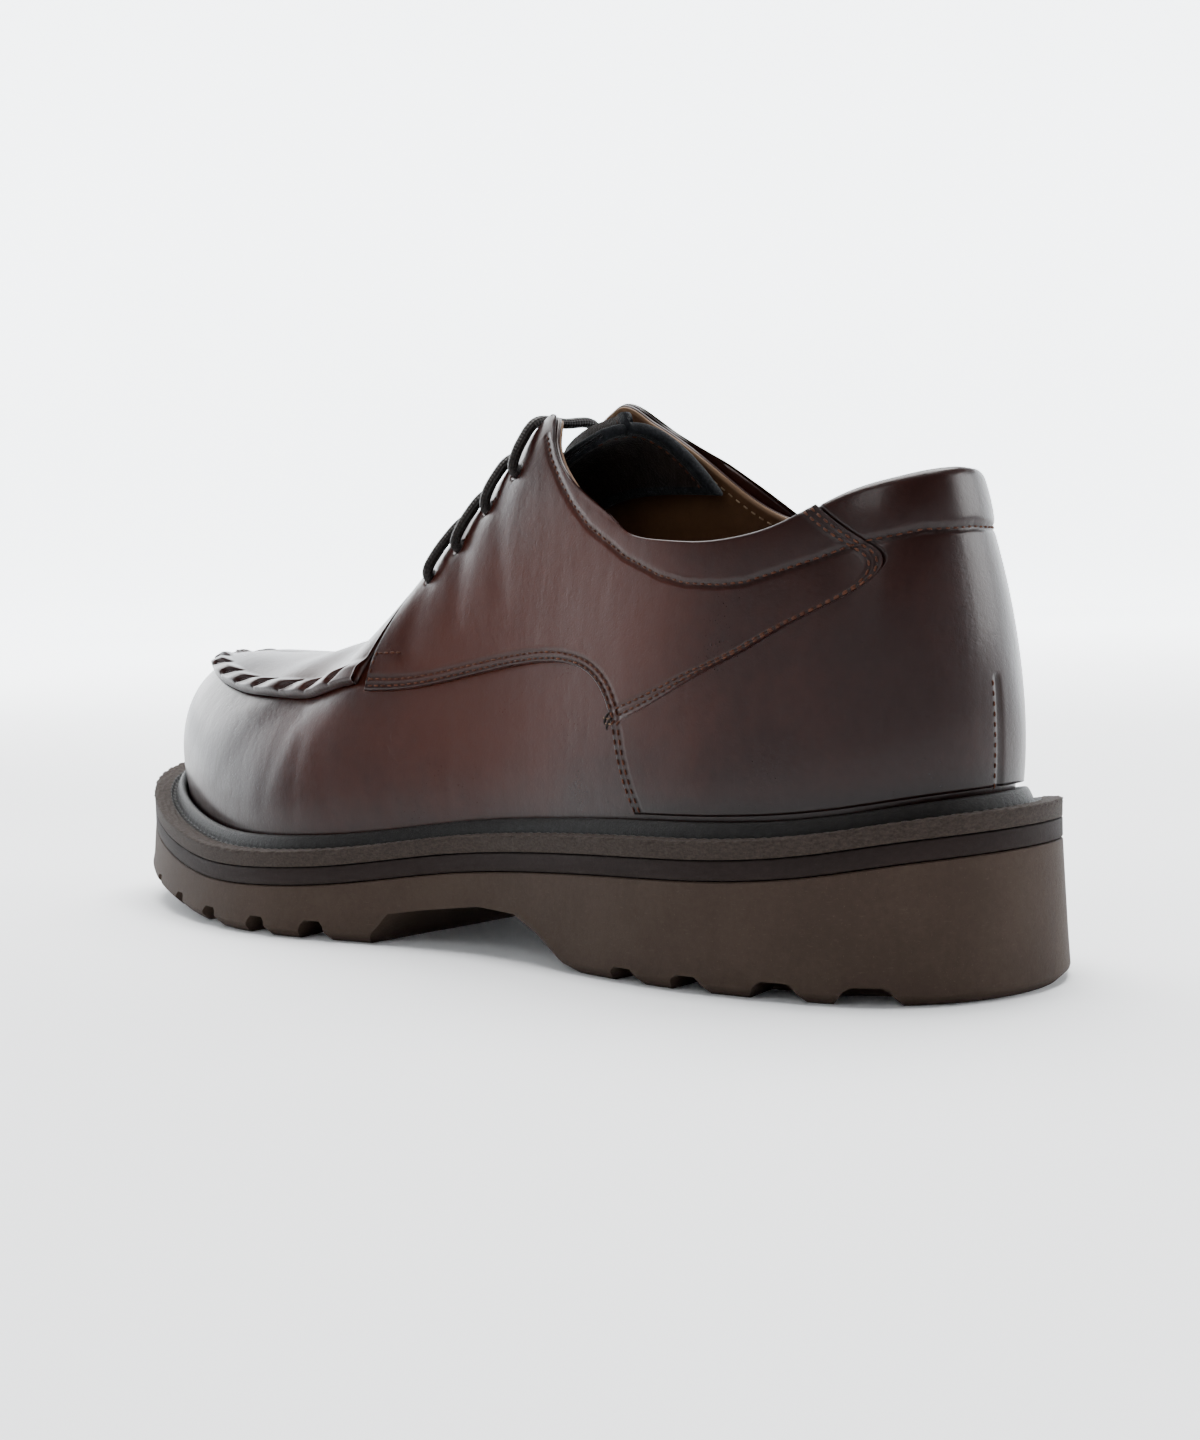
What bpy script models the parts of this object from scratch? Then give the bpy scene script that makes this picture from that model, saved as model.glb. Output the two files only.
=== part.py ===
"""Apron toe derby, left shoe, EU 42: hollow lasted upper on a stitched welt, midsole and lugged outsole.

x runs to the little toe side, y to the heel, z up, ground at z = 0. Tables are in millimetres and
give places as the distance from the back of the sole. Stations run from 0 at the heel to 1 at the toe.
"""

import bmesh
import bpy
import numpy as np

MM = 0.001
SOLE_LENGTH = 300.0
HALF_LENGTH = SOLE_LENGTH / 2


def table(names, rows):
    """Columns of a table by name."""
    return {name: np.array([row[k] for row in rows], float) for k, name in enumerate(names.split())}


OUTLINE = table(
    "from_heel lateral medial",
    [
        (0, 0, 0),
        (4, 18, 17),
        (16, 32, 30.5),
        (39, 41, 38.5),
        (66, 45, 37.5),
        (100, 43.3, 33),
        (133, 41, 33.5),
        (166, 46.3, 42.5),
        (193, 52.8, 51),
        (214, 53.4, 53.4),
        (242, 47.8, 49.5),
        (269, 36.8, 39),
        (292, 19, 22.5),
        (300, 0, 0),
    ],
)
TOE_SHIFT = 1.5

RIM = table(
    "from_heel height",
    [
        (0, 40.4),
        (12, 39),
        (28, 36.3),
        (45, 34.2),
        (60, 33.3),
        (80, 32.6),
        (104, 31.3),
        (125, 29.7),
        (144, 27.8),
        (160, 25.6),
        (178, 23.3),
        (199, 21.8),
        (225, 21.5),
        (248, 23.9),
        (268, 27.6),
        (284, 31.8),
        (300, 36.5),
    ],
)

LAST = table(
    "station ridge_from_heel ridge_height foot_out foot_up lateral medial fall",
    [
        (0.00, 32.0, 148.0, 3.4, 34.5, 14.0, 14.0, 34.0),
        (0.08, 34.0, 149.0, 3.6, 36.0, 15.6, 17.4, 34.0),
        (0.17, 48.0, 151.5, 2.2, 33.5, 20.6, 20.8, 28.0),
        (0.28, 77.0, 152.5, 0.3, 29.0, 24.0, 23.0, 18.0),
        (0.38, 107.0, 146.0, 0.0, 27.0, 24.0, 23.5, 8.5),
        (0.47, 133.0, 135.5, 0.5, 26.5, 22.0, 22.5, 3.5),
        (0.55, 151.0, 117.0, 1.0, 26.5, 22.0, 22.0, 3.0),
        (0.62, 169.6, 98.1, 1.5, 25.5, 26.0, 25.0, 3.0),
        (0.69, 187.0, 80.5, 2.2, 25.0, 28.0, 28.0, 3.5),
        (0.76, 206.5, 74.0, 3.3, 25.0, 32.0, 30.0, 2.5),
        (0.83, 225.0, 69.5, 4.0, 25.0, 32.0, 30.0, 1.0),
        (0.89, 243.0, 68.3, 4.5, 24.5, 28.0, 26.0, -2.0),
        (0.95, 257.5, 68.0, 3.8, 23.0, 23.0, 22.0, -4.2),
        (1.00, 263.5, 67.5, 2.6, 23.0, 19.0, 19.0, -4.2),
    ],
)

TOPLINE = table(
    "station lateral_height medial_height",
    [
        (0.00, 112.8, 112.8),
        (0.05, 112.3, 112.3),
        (0.10, 110.5, 110.6),
        (0.13, 108.4, 109.0),
        (0.16, 104.8, 106.5),
        (0.19, 101.0, 104.0),
        (0.22, 98.9, 102.0),
        (0.26, 98.0, 101.3),
        (0.29, 98.5, 102.6),
        (0.33, 100.3, 108.6),
        (0.36, 104.2, 116.0),
        (0.39, 109.2, 123.3),
        (0.41, 114.2, 127.6),
        (0.43, 119.6, 131.3),
        (0.45, 126.0, 134.0),
        (0.48, 131.0, 135.0),
    ],
)
FACING = table("side collar_end corner", [(1, 0.44, 0.475), (-1, 0.415, 0.455)])
HALF_GAP = table(
    "station gap",
    [
        (0.40, 9.0),
        (0.46, 9.0),
        (0.49, 9.4),
        (0.52, 10.4),
        (0.55, 12.2),
        (0.58, 14.5),
        (0.62, 17.0),
    ],
)
THROAT = 0.60

COUNTER = table(
    "station share",
    [
        (0.306, 0.012),
        (0.321, 0.110),
        (0.331, 0.204),
        (0.298, 0.233),
        (0.244, 0.290),
        (0.208, 0.326),
        (0.176, 0.366),
        (0.122, 0.425),
        (0.107, 0.455),
        (0.106, 0.480),
        (0.122, 0.508),
        (0.158, 0.567),
    ],
)
QUARTER_LOW = table(
    "station share",
    [
        (0.331, 0.204),
        (0.336, 0.233),
        (0.347, 0.271),
        (0.369, 0.304),
        (0.397, 0.317),
        (0.476, 0.319),
        (0.554, 0.346),
        (0.594, 0.382),
    ],
)
QUARTER_FRONT = table(
    "station share",
    [
        (0.594, 0.382),
        (0.602, 0.475),
        (0.604, 0.560),
        (0.603, 0.650),
        (0.596, 0.740),
        (0.580, 0.830),
    ],
)
APRON = table(
    "station share",
    [
        (0.612, 0.420),
        (0.676, 0.479),
        (0.736, 0.517),
        (0.802, 0.540),
        (0.862, 0.567),
        (0.914, 0.592),
        (0.960, 0.605),
        (1.000, 0.610),
    ],
)
EYELETS = table(
    "station share",
    [
        (0.484, 0.717),
        (0.520, 0.696),
        (0.550, 0.662),
        (0.578, 0.642),
    ],
)

FEATHER_INSET = 9.3
ROLL_HEIGHT = 3.4
WELT_THICKNESS = 4.0
MIDSOLE_THICKNESS = 4.6
TOE_SPRING = 11.0
QUARTER_BACKING = -0.9
VAMP_FACE = -0.3
UPPER_WALL = 1.7
OVERLAY = 1.2
GAP = 0.35
OVERLAY_GAP = 0.55
SEAT_INSET = 9.7
INSOLE_THICKNESS = 3.6
SEAM_GAP = 0.6
NARROW = 0.0001
SPAN = 385.0
HEIGHT = 95.0


def spline(knots, values):
    """Natural cubic spline through the rows, at each value of its argument."""
    k = np.asarray(knots, float)
    y = np.asarray(values, float)
    y = y[:, None] if y.ndim == 1 else y
    n = len(k)
    h = np.diff(k)
    a = np.zeros((n, n))
    r = np.zeros_like(y)
    a[0, 0] = a[-1, -1] = 1
    for i in range(1, n - 1):
        a[i, i - 1 : i + 2] = h[i - 1], 2 * (h[i - 1] + h[i]), h[i]
        r[i] = 6 * ((y[i + 1] - y[i]) / h[i] - (y[i] - y[i - 1]) / h[i - 1])
    m = np.linalg.solve(a, r)

    def at(x):
        x = np.asarray(x, float)
        i = np.clip(np.searchsorted(k, x) - 1, 0, n - 2)
        low = ((k[i + 1] - x) / h[i])[..., None]
        high = ((x - k[i]) / h[i])[..., None]
        cubic = (low**3 - low) * m[i] + (high**3 - high) * m[i + 1]
        out = low * y[i] + high * y[i + 1] + cubic * (h[i][..., None] ** 2) / 6
        return out[..., 0] if out.shape[-1] == 1 else out

    return at


def mirrored(knots, values, before, after):
    """Spline with its first and last rows mirrored past both ends, so that it is level there."""
    k = np.asarray(knots, float)
    y = np.asarray(values, float)
    k_all = np.concatenate([2 * k[0] - k[before:0:-1], k, 2 * k[-1] - k[-2 : -2 - after : -1]])
    y_all = np.concatenate([y[before:0:-1], y, y[-2 : -2 - after : -1]])
    return spline(k_all, y_all)


def smooth(x):
    x = np.clip(x, 0, 1)
    return x * x * (3 - 2 * x)


def outline_function():
    """Plan of the sole edge: position and outward normal at a signed station, lateral positive."""
    t = OUTLINE["from_heel"]
    lateral = OUTLINE["lateral"].copy()
    medial = -OUTLINE["medial"].copy()
    lateral[-1] = medial[-1] = -TOE_SHIFT
    steps = (np.hypot(np.diff(lateral), np.diff(t)) + np.hypot(np.diff(medial), np.diff(t))) / 2
    knots = np.concatenate([[0], np.cumsum(steps)])
    x = np.concatenate([medial[:0:-1], lateral, medial[-2:-7:-1]])
    y = np.concatenate([t[:0:-1], t, t[-2:-7:-1]])
    w = np.concatenate([-knots[:0:-1], knots, 2 * knots[-1] - knots[-2:-7:-1]])
    x = np.concatenate([lateral[-6:-1], x])
    y = np.concatenate([t[-6:-1], y])
    w = np.concatenate([-(2 * knots[-1] - knots[-6:-1]), w])
    curve = spline(w, np.stack([x, y], -1))
    total = knots[-1]

    def at(q):
        q = np.asarray(q, float)
        q = np.where(q > 1, q - 2, np.where(q < -1, q + 2, q)) * total
        p = curve(q)
        d = curve(q + 0.05) - curve(q - 0.05)
        d /= np.linalg.norm(d, axis=-1, keepdims=True)
        return p, np.stack([d[..., 1], -d[..., 0]], -1)

    return at


outline = outline_function()
rim_height = spline(RIM["from_heel"], RIM["height"])
SECTION = "ridge_from_heel ridge_height foot_out foot_up lateral medial fall".split()
last_rows = mirrored(LAST["station"], np.stack([LAST[name] for name in SECTION], -1), 3, 3)


def edge(q, inset):
    """Plan point of the sole edge moved inward by inset."""
    p, n = outline(q)
    return p - np.asarray(inset, float)[..., None] * n


def last(q, v):
    """Outside of the upper: a cubic curve from the feather line, v = 0, to the ridge of the last, v = 1."""
    q = np.asarray(q, float)
    q = np.where(q > 1, q - 2, np.where(q < -1, q + 2, q))
    s = np.abs(q)
    side = np.where(q >= 0, 1.0, -1.0)
    v = np.asarray(v, float)[..., None]
    row = last_rows(s)
    plan, normal = outline(q)
    plan = plan - FEATHER_INSET * normal
    zero = np.zeros_like(s)
    foot = np.stack([plan[..., 0], plan[..., 1], rim_height(plan[..., 1]) + ROLL_HEIGHT], -1)
    ridge = np.stack([-TOE_SHIFT * smooth((s - 0.6) / 0.4), row[..., 0], row[..., 1]], -1)
    out = np.stack([normal[..., 0], normal[..., 1], zero], -1)
    across = np.stack([side, zero, zero], -1)
    fan = np.maximum(smooth((s - 0.80) / 0.12), smooth((0.22 - s) / 0.14))[..., None]
    wide = across * (1 - fan) + out * fan
    wide /= np.linalg.norm(wide, axis=-1, keepdims=True)
    reach = np.where(side > 0, row[..., 4], row[..., 5])[..., None]
    up = np.array([0, 0, 1.0])
    low = foot + out * row[..., 2:3] + up * row[..., 3:4]
    high = ridge + wide * reach - up * row[..., 6:7]
    return (1 - v) ** 3 * foot + 3 * v * (1 - v) ** 2 * low + 3 * v * v * (1 - v) * high + v**3 * ridge


def last_normal(q, v):
    """Outward unit normal; along the ridge it is shared by the two sides."""
    q = np.asarray(q, float)
    top = (np.asarray(v, float) > 0.999)[..., None]
    v = np.clip(np.asarray(v, float), 0.0, 0.985)
    e = 2e-3

    def raw(q):
        du = last(q + e, v) - last(q - e, v)
        dv = last(q, v + e) - last(q, v - e)
        n = np.cross(du, dv)
        return n / np.linalg.norm(n, axis=-1, keepdims=True)

    n = raw(q)
    n = np.where(top, n + raw(-q), n)
    return n / np.linalg.norm(n, axis=-1, keepdims=True)


def skin(q, v, lift):
    """Point lifted off the last along its normal, negative inward."""
    return last(q, v) + np.asarray(lift, float)[..., None] * last_normal(q, v)


def face_lift(q):
    """Lift of the outside of the upper: set back under the quarters and counter, full at the vamp."""
    return QUARTER_BACKING + (VAMP_FACE - QUARTER_BACKING) * smooth((np.abs(q) - 0.30) / 0.35)


def bed(q):
    """Lift of the underside of an overlay."""
    return face_lift(q) + OVERLAY_GAP


def to_row(points):
    """Millimetres from the back of the sole to metres in the shared frame."""
    p = np.array(points, float)
    p[..., 1] = HALF_LENGTH - p[..., 1]
    return p * MM


def climb(q, value, target):
    """Share v of the section at which value(points) reaches the target, rising or falling."""
    v = np.linspace(0, 1, 400)
    found = []
    for one, goal in zip(np.atleast_1d(q), np.atleast_1d(target)):
        line = value(last(np.full(400, one), v))
        order = np.argsort(line)
        found.append(np.interp(goal, line[order], v[order]))
    return np.array(found)


def topline_share(q):
    """Share v of the top edge of the upper at each signed station."""
    q = np.atleast_1d(np.asarray(q, float))
    s = np.abs(q)
    right = q >= 0
    height = np.where(right, spline(TOPLINE["station"], TOPLINE["lateral_height"])(s), 0)
    height = np.where(right, height, spline(TOPLINE["station"], TOPLINE["medial_height"])(s))
    by_height = climb(q, lambda p: p[:, 2], height)
    gap = spline(HALF_GAP["station"], HALF_GAP["gap"])(np.clip(s, 0.40, 0.62))
    by_gap = climb(q, lambda p: -np.abs(p[:, 0]), -gap)
    start = np.where(right, FACING["collar_end"][0], FACING["collar_end"][1])
    corner = np.where(right, FACING["corner"][0], FACING["corner"][1])
    mix = smooth((s - start) / (corner - start))
    share = by_height * (1 - mix) + by_gap * mix
    close = smooth((s - (THROAT - 0.03)) / 0.03)
    share = share * (1 - close) + close
    return np.where(s >= THROAT - 1e-9, 1.0, share)


def collection(name):
    c = bpy.data.collections.new(name)
    bpy.context.scene.collection.children.link(c)
    return c


def material(name, colour, roughness):
    m = bpy.data.materials.new(name)
    m.use_nodes = True
    shader = m.node_tree.nodes["Principled BSDF"]
    shader.inputs["Base Color"].default_value = (*colour, 1)
    shader.inputs["Roughness"].default_value = roughness
    return m


def body(name, group, mat, points, faces):
    """One closed body from points in millimetres, with doubles along the closed lines merged."""
    mesh = bpy.data.meshes.new(name)
    mesh.from_pydata([tuple(p) for p in to_row(points)], [], [list(map(int, f)) for f in faces])
    bm = bmesh.new()
    bm.from_mesh(mesh)
    bmesh.ops.remove_doubles(bm, verts=bm.verts, dist=1e-6)
    bmesh.ops.dissolve_degenerate(bm, dist=1e-7, edges=bm.edges)
    bmesh.ops.recalc_face_normals(bm, faces=bm.faces)
    if bm.calc_volume(signed=True) < 0:
        bmesh.ops.reverse_faces(bm, faces=bm.faces)
    bm.to_mesh(mesh)
    bm.free()
    mesh.materials.append(mat)
    obj = bpy.data.objects.new(name, mesh)
    group.objects.link(obj)
    return obj


STATIONS = np.concatenate(
    [
        np.linspace(0, 0.10, 4, endpoint=False),
        np.linspace(0.10, 0.16, 2, endpoint=False),
        np.linspace(0.16, 0.40, 6, endpoint=False),
        np.linspace(0.40, 0.49, 5, endpoint=False),
        np.linspace(0.49, 0.60, 4, endpoint=False),
        np.linspace(0.60, 0.85, 8, endpoint=False),
        np.linspace(0.85, 1.00, 6, endpoint=False),
        [1.0],
    ]
)
ROUND = np.concatenate([STATIONS, -STATIONS[-2:0:-1]])
MIRROR = np.array([(len(ROUND) - k) % len(ROUND) for k in range(len(ROUND))])


def ring_faces(rings, count, closed_round):
    """Quads between successive rings of count points; closed_round joins the last ring to the first."""
    faces = []
    for r in range(rings if closed_round else rings - 1):
        for k in range(count):
            a = r * count
            b = ((r + 1) % rings) * count
            faces.append((a + k, a + (k + 1) % count, b + (k + 1) % count, b + k))
    return faces


def cap_faces(start, count):
    """Quads across a ring, from each lateral point to its medial partner."""
    faces = []
    for k in range(count // 2):
        quad = [start + k, start + k + 1, start + MIRROR[k + 1], start + MIRROR[k]]
        faces.append(list(dict.fromkeys(int(v) for v in quad)))
    return faces


def layer(name, group, mat, rows):
    """Solid layer of the sole from rows of (inset, height at each plan point), bottom row to top row."""
    rings = []
    for inset, height in rows:
        p = edge(ROUND, inset)
        rings.append(np.column_stack([p, height(p[:, 1])]))
    n = len(ROUND)
    faces = ring_faces(len(rings), n, False) + cap_faces(0, n) + cap_faces((len(rings) - 1) * n, n)
    return body(name, group, mat, np.vstack(rings), faces)


def hoop(name, group, mat, rows):
    """Ring with a closed section, from rows of (inset, height above the rim)."""
    rings = []
    for inset, rise in rows:
        p = edge(ROUND, inset)
        rings.append(np.column_stack([p, rim_height(p[:, 1]) + rise]))
    return body(name, group, mat, np.vstack(rings), ring_faces(len(rings), len(ROUND), True))


def slab(name, group, mat, q, v, low, high):
    """Overlay over a grid of stations and shares, between two heights above its bed on the upper."""
    q = np.asarray(q, float)
    v = np.asarray(v, float)
    rows, cols = q.shape
    top = skin(q.ravel(), v.ravel(), (bed(q) + high).ravel())
    under = skin(q.ravel(), v.ravel(), (bed(q) + low).ravel())
    return sheet(name, group, mat, top, under, rows, cols)


def sheet(name, group, mat, top, under, rows, cols):
    """Closed body between two grids of rows x cols points."""
    index = np.arange(rows * cols).reshape(rows, cols)
    far = index + rows * cols
    border = list(index[0, :]) + list(index[1:, -1]) + list(index[-1, -2::-1]) + list(index[-2:0:-1, 0])
    faces = [(a, b, b + rows * cols, a + rows * cols) for a, b in zip(border, border[1:] + border[:1])]
    for r in range(rows - 1):
        for c in range(cols - 1):
            faces.append((index[r, c], index[r, c + 1], index[r + 1, c + 1], index[r + 1, c]))
            faces.append((far[r, c], far[r + 1, c], far[r + 1, c + 1], far[r, c + 1]))
    return body(name, group, mat, np.vstack([top, under]), faces)


def curve_rows(rows, count):
    """Evenly spaced points on the spline through rows of (station, share)."""
    p = np.stack([rows["station"], rows["share"]], -1)
    d = np.concatenate([[0], np.cumsum(np.hypot(*np.diff(p, axis=0).T))])
    return spline(d, p)(np.linspace(0, d[-1], count))


def tube(name, group, mat, path, radius, sides):
    """Round cord along a path, with flat ends."""
    path = np.asarray(path, float)
    along = np.gradient(path, axis=0)
    along /= np.linalg.norm(along, axis=1, keepdims=True)
    side = np.cross(along, (0.0, 1.0, 0.3))
    side /= np.linalg.norm(side, axis=1, keepdims=True)
    third = np.cross(along, side)
    turn = np.linspace(0, 2 * np.pi, sides, endpoint=False)
    around = [np.cos(turn)[:, None] * a + np.sin(turn)[:, None] * b for a, b in zip(side, third)]
    rings = [p + radius * r for p, r in zip(path, around)]
    faces = ring_faces(len(path), sides, False)
    faces += [list(range(sides)), list(range((len(path) - 1) * sides, len(path) * sides))]
    return body(name, group, mat, np.vstack(rings), faces)


def prism(name, group, section, direction_in, direction_side, start, reach):
    """Cutter: a section of (along, up) points swept from a start point along a direction."""
    section = np.asarray(section, float)
    near = [np.array(start) + a * np.array(direction_side) + np.array((0, 0, u)) for a, u in section]
    far = [p + reach * np.array(direction_in) for p in near]
    n = len(near)
    faces = [list(range(n)), list(range(2 * n - 1, n - 1, -1))]
    faces += [(k, (k + 1) % n, n + (k + 1) % n, n + k) for k in range(n)]
    return body(name, group, CUTTER, np.array(near + far), faces)


def cut(target, cutters):
    """Takes the cutters away from the target for good and merges what the cuts leave too narrow."""
    for cutter in cutters:
        modifier = target.modifiers.new("cut " + cutter.name, "BOOLEAN")
        modifier.object = cutter
        modifier.operation = "DIFFERENCE"
        modifier.solver = "EXACT"
        cutter.hide_render = True
        cutter.display_type = "WIRE"
    done = target.evaluated_get(bpy.context.evaluated_depsgraph_get()).to_mesh()
    bm = bmesh.new()
    bm.from_mesh(done)
    bmesh.ops.triangulate(bm, faces=bm.faces)
    bmesh.ops.dissolve_degenerate(bm, dist=NARROW, edges=bm.edges)
    bmesh.ops.remove_doubles(bm, verts=bm.verts, dist=NARROW)
    bm.faces.sort(key=lambda face: face.calc_center_median().z)
    target.modifiers.clear()
    bm.to_mesh(target.data)
    bm.free()


def ground(t):
    """Height of the tread line: flat to 0.70 of the length, then toe spring."""
    return TOE_SPRING * np.clip((t / SOLE_LENGTH - 0.70) / 0.30, 0, None) ** 1.65


for old in list(bpy.data.objects):
    bpy.data.objects.remove(old, do_unlink=True)
SHOE = collection("apron_toe_derby")
CUTTERS = collection("cutters")
CUTTERS.hide_render = True
CUTTER = material("cutter", (0.8, 0.2, 0.2), 0.5)

OUTSOLE = material("outsole_rubber", (0.105, 0.078, 0.062), 0.75)
MIDSOLE = material("midsole_rubber", (0.035, 0.028, 0.026), 0.7)
WELT = material("welt", (0.070, 0.055, 0.047), 0.65)
LEATHER = material("upper_leather", (0.045, 0.020, 0.014), 0.35)
PANEL = material("panel_leather", (0.052, 0.023, 0.016), 0.35)
APRON_LEATHER = material("apron_leather", (0.050, 0.022, 0.016), 0.35)
LINING = material("insole_leather", (0.36, 0.20, 0.10), 0.6)
SUEDE = material("tongue_leather", (0.030, 0.020, 0.018), 0.8)
CORD = material("lace_cord", (0.030, 0.018, 0.014), 0.55)

welt_bottom = -WELT_THICKNESS
midsole_top = welt_bottom - 0.3
midsole_bottom = midsole_top - MIDSOLE_THICKNESS + 0.3
outsole_top = midsole_bottom - 0.3

outsole = layer(
    "outsole",
    SHOE,
    OUTSOLE,
    [
        (1.2, ground),
        (-1.3, lambda t: ground(t) + 2.6),
        (0.0, lambda t: rim_height(t) + outsole_top),
    ],
)
layer(
    "midsole",
    SHOE,
    MIDSOLE,
    [
        (0.0, lambda t: rim_height(t) + midsole_bottom),
        (0.0, lambda t: rim_height(t) + midsole_top),
    ],
)
hoop(
    "welt",
    SHOE,
    WELT,
    [
        (0.0, welt_bottom),
        (0.0, -0.5),
        (0.6, 0.0),
        (4.9, 0.0),
        (5.6, -0.8),
        (6.6, 1.6),
        (7.9, 3.2),
        (SEAT_INSET - GAP, 2.4),
        (SEAT_INSET - GAP, welt_bottom),
    ],
)
layer(
    "insole",
    SHOE,
    LINING,
    [
        (SEAT_INSET + UPPER_WALL + 0.6, lambda t: rim_height(t) + welt_bottom + 0.1),
        (SEAT_INSET + UPPER_WALL + 0.6, lambda t: rim_height(t) + welt_bottom + 0.1 + INSOLE_THICKNESS),
    ],
)

ARCH = table(
    "from_heel height",
    [
        (95, -4),
        (95, 0),
        (98.5, 1.9),
        (109, 7.9),
        (118, 11.5),
        (131, 12.0),
        (150, 9.6),
        (160, 8.0),
        (167, 0),
        (167, -4),
    ],
)
arch_section = np.stack([ARCH["from_heel"], ARCH["height"]], -1)
cutters = [prism("arch", CUTTERS, arch_section, (1, 0, 0), (0, 1, 0), (-80, 0, 0), 160)]
NOTCHES = table(
    "from_heel width depth",
    [
        (15, 9.0, 3.6),
        (36, 9.0, 3.8),
        (58, 9.0, 3.8),
        (77, 9.0, 3.8),
        (183, 9.0, 3.8),
        (202, 8.5, 3.6),
        (224, 8.0, 3.3),
        (244, 6.5, 2.9),
        (264, 5.0, 2.5),
    ],
)
stations = np.linspace(0, 1, 600)
for side in (1, -1):
    plan, normal = outline(side * stations)
    for k, (t, width, depth) in enumerate(zip(NOTCHES["from_heel"], NOTCHES["width"], NOTCHES["depth"])):
        i = int(np.argmin(np.abs(plan[:, 1] - t)))
        out = np.array([normal[i, 0], normal[i, 1], 0.0])
        along = np.array([-out[1], out[0], 0.0])
        if along[1] < 0:
            along = -along
        w = width / 2
        base = ground(plan[i, 1])
        section = [(-w, -4), (-w, 0), (-w * 0.55, depth), (w * 0.55, depth), (w, 0), (w, -4)]
        start = np.array([plan[i, 0], plan[i, 1], base]) + 5 * out
        cutters.append(prism(f"notch_{k}_{side}", CUTTERS, section, -out, along, start, 17))
cut(outsole, cutters)

shares = np.array([0, 0.12, 0.25, 0.37, 0.49, 0.61, 0.73, 0.86, 1.0])
top = topline_share(ROUND)
count = len(ROUND)
outer = [np.column_stack([(p := edge(ROUND, SEAT_INSET)), rim_height(p[:, 1]) + welt_bottom + 0.4])]
inner = [np.column_stack([(p := edge(ROUND, SEAT_INSET + UPPER_WALL)), rim_height(p[:, 1]) + welt_bottom + 0.4])]
for share in shares:
    outer.append(skin(ROUND, share * top, face_lift(ROUND)))
    inner.append(skin(ROUND, share * top, face_lift(ROUND) - UPPER_WALL))
rings = len(outer)
faces = ring_faces(rings, count, False)
faces += [tuple(v + rings * count for v in f[::-1]) for f in ring_faces(rings, count, False)]
for k in range(count):
    j = (k + 1) % count
    faces.append((k, j, j + rings * count, k + rings * count))
    if min(top[k], top[j]) < 1:
        a = (rings - 1) * count
        faces.append((a + k, a + rings * count + k, a + rings * count + j, a + j))
upper = body("upper", SHOE, LEATHER, np.vstack(outer + inner), faces)

side_seam = curve_rows({name: column[:3] for name, column in COUNTER.items()}, 4)
counter_line = curve_rows({name: column[2:] for name, column in COUNTER.items()}, 11)
levels = np.vstack([side_seam[:-1], counter_line])
across = np.linspace(-1, 1, 25)
edge_station, edge_share = levels[:, :1], levels[:, 1:]
q = across[None, :] * edge_station
back_share = 0.012 + np.linspace(0, 1, len(levels))[:, None] * (topline_share([0.0])[0] - 0.012)
v = back_share * (1 - across**2) + edge_share * across**2
line = topline_share(q[-1])
v += (np.linspace(0, 1, len(levels))[:, None] ** 4) * (line - v[-1])
slab("heel_counter", SHOE, PANEL, q, v, 0.0, OVERLAY)


def quarter(name, side):
    """Facing and quarter: a patch between the low edge, the counter line, the topline and the front edge."""
    rows, cols = len(counter_line), 19
    low = curve_rows(QUARTER_LOW, cols)
    front = curve_rows(QUARTER_FRONT, rows)
    step = np.gradient(counter_line, axis=0) * [SPAN, HEIGHT]
    step /= np.linalg.norm(step, axis=1, keepdims=True)
    back = counter_line + SEAM_GAP * np.stack([step[:, 1] / SPAN, -step[:, 0] / HEIGHT], -1)
    low[0] = back[0]
    s = np.concatenate(
        [
            np.linspace(back[-1, 0], 0.40, 7, endpoint=False),
            np.linspace(0.40, 0.49, 7, endpoint=False),
            np.linspace(0.49, front[-1, 0], cols - 14),
        ]
    )
    top = np.stack([s, topline_share(side * s)], -1)
    front[:, 1] *= 1 + (top[-1, 1] / front[-1, 1] - 1) * np.linspace(0, 1, rows) ** 2
    low_share = np.linspace(0, 1, cols)
    u = low_share[None, :, None]
    w = np.linspace(0, 1, rows)[:, None, None]
    patch = (1 - u) * back[:, None] + u * front[:, None] + (1 - w) * low[None] + w * top[None]
    patch -= (1 - u) * (1 - w) * low[0] + u * (1 - w) * low[-1] + (1 - u) * w * top[0] + u * w * top[-1]
    return slab(name, SHOE, PANEL, side * patch[..., 0], patch[..., 1], 0.15, OVERLAY)


quarters = [quarter("quarter_lateral", 1), quarter("quarter_medial", -1)]

half = np.concatenate([[0.612], STATIONS[STATIONS > 0.62]])
q = np.concatenate([half, -half[-2::-1]])
begin = curve_rows(APRON, 200)
edge_v = np.interp(np.abs(q), begin[:, 0], begin[:, 1])
rim_steps = np.array([0.0, 0.035, 0.08, 0.13, 0.24, 0.38, 0.54, 0.70, 0.85, 1.0])
rim_rise = np.array([0.4, 1.3, 1.0, -0.3, -0.3, -0.3, -0.3, -0.3, -0.3, -0.3])
q_grid = np.broadcast_to(q, (len(rim_steps), len(q)))
v_grid = edge_v + (1 - edge_v) * rim_steps[:, None]
high = bed(q_grid) + OVERLAY + np.broadcast_to(rim_rise[:, None], q_grid.shape)
top_points = skin(q_grid.ravel(), v_grid.ravel(), high.ravel())
low_points = skin(q_grid.ravel(), v_grid.ravel(), bed(q_grid).ravel())
rows, cols = q_grid.shape
index = np.arange(rows * cols).reshape(rows, cols)
far = index + rows * cols
faces = []
for r in range(rows - 1):
    for c in range(cols - 1):
        faces.append((index[r, c], index[r, c + 1], index[r + 1, c + 1], index[r + 1, c]))
        faces.append((far[r, c], far[r + 1, c], far[r + 1, c + 1], far[r, c + 1]))
border = list(index[::-1, 0]) + list(index[0, 1:]) + list(index[1:, -1])
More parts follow.
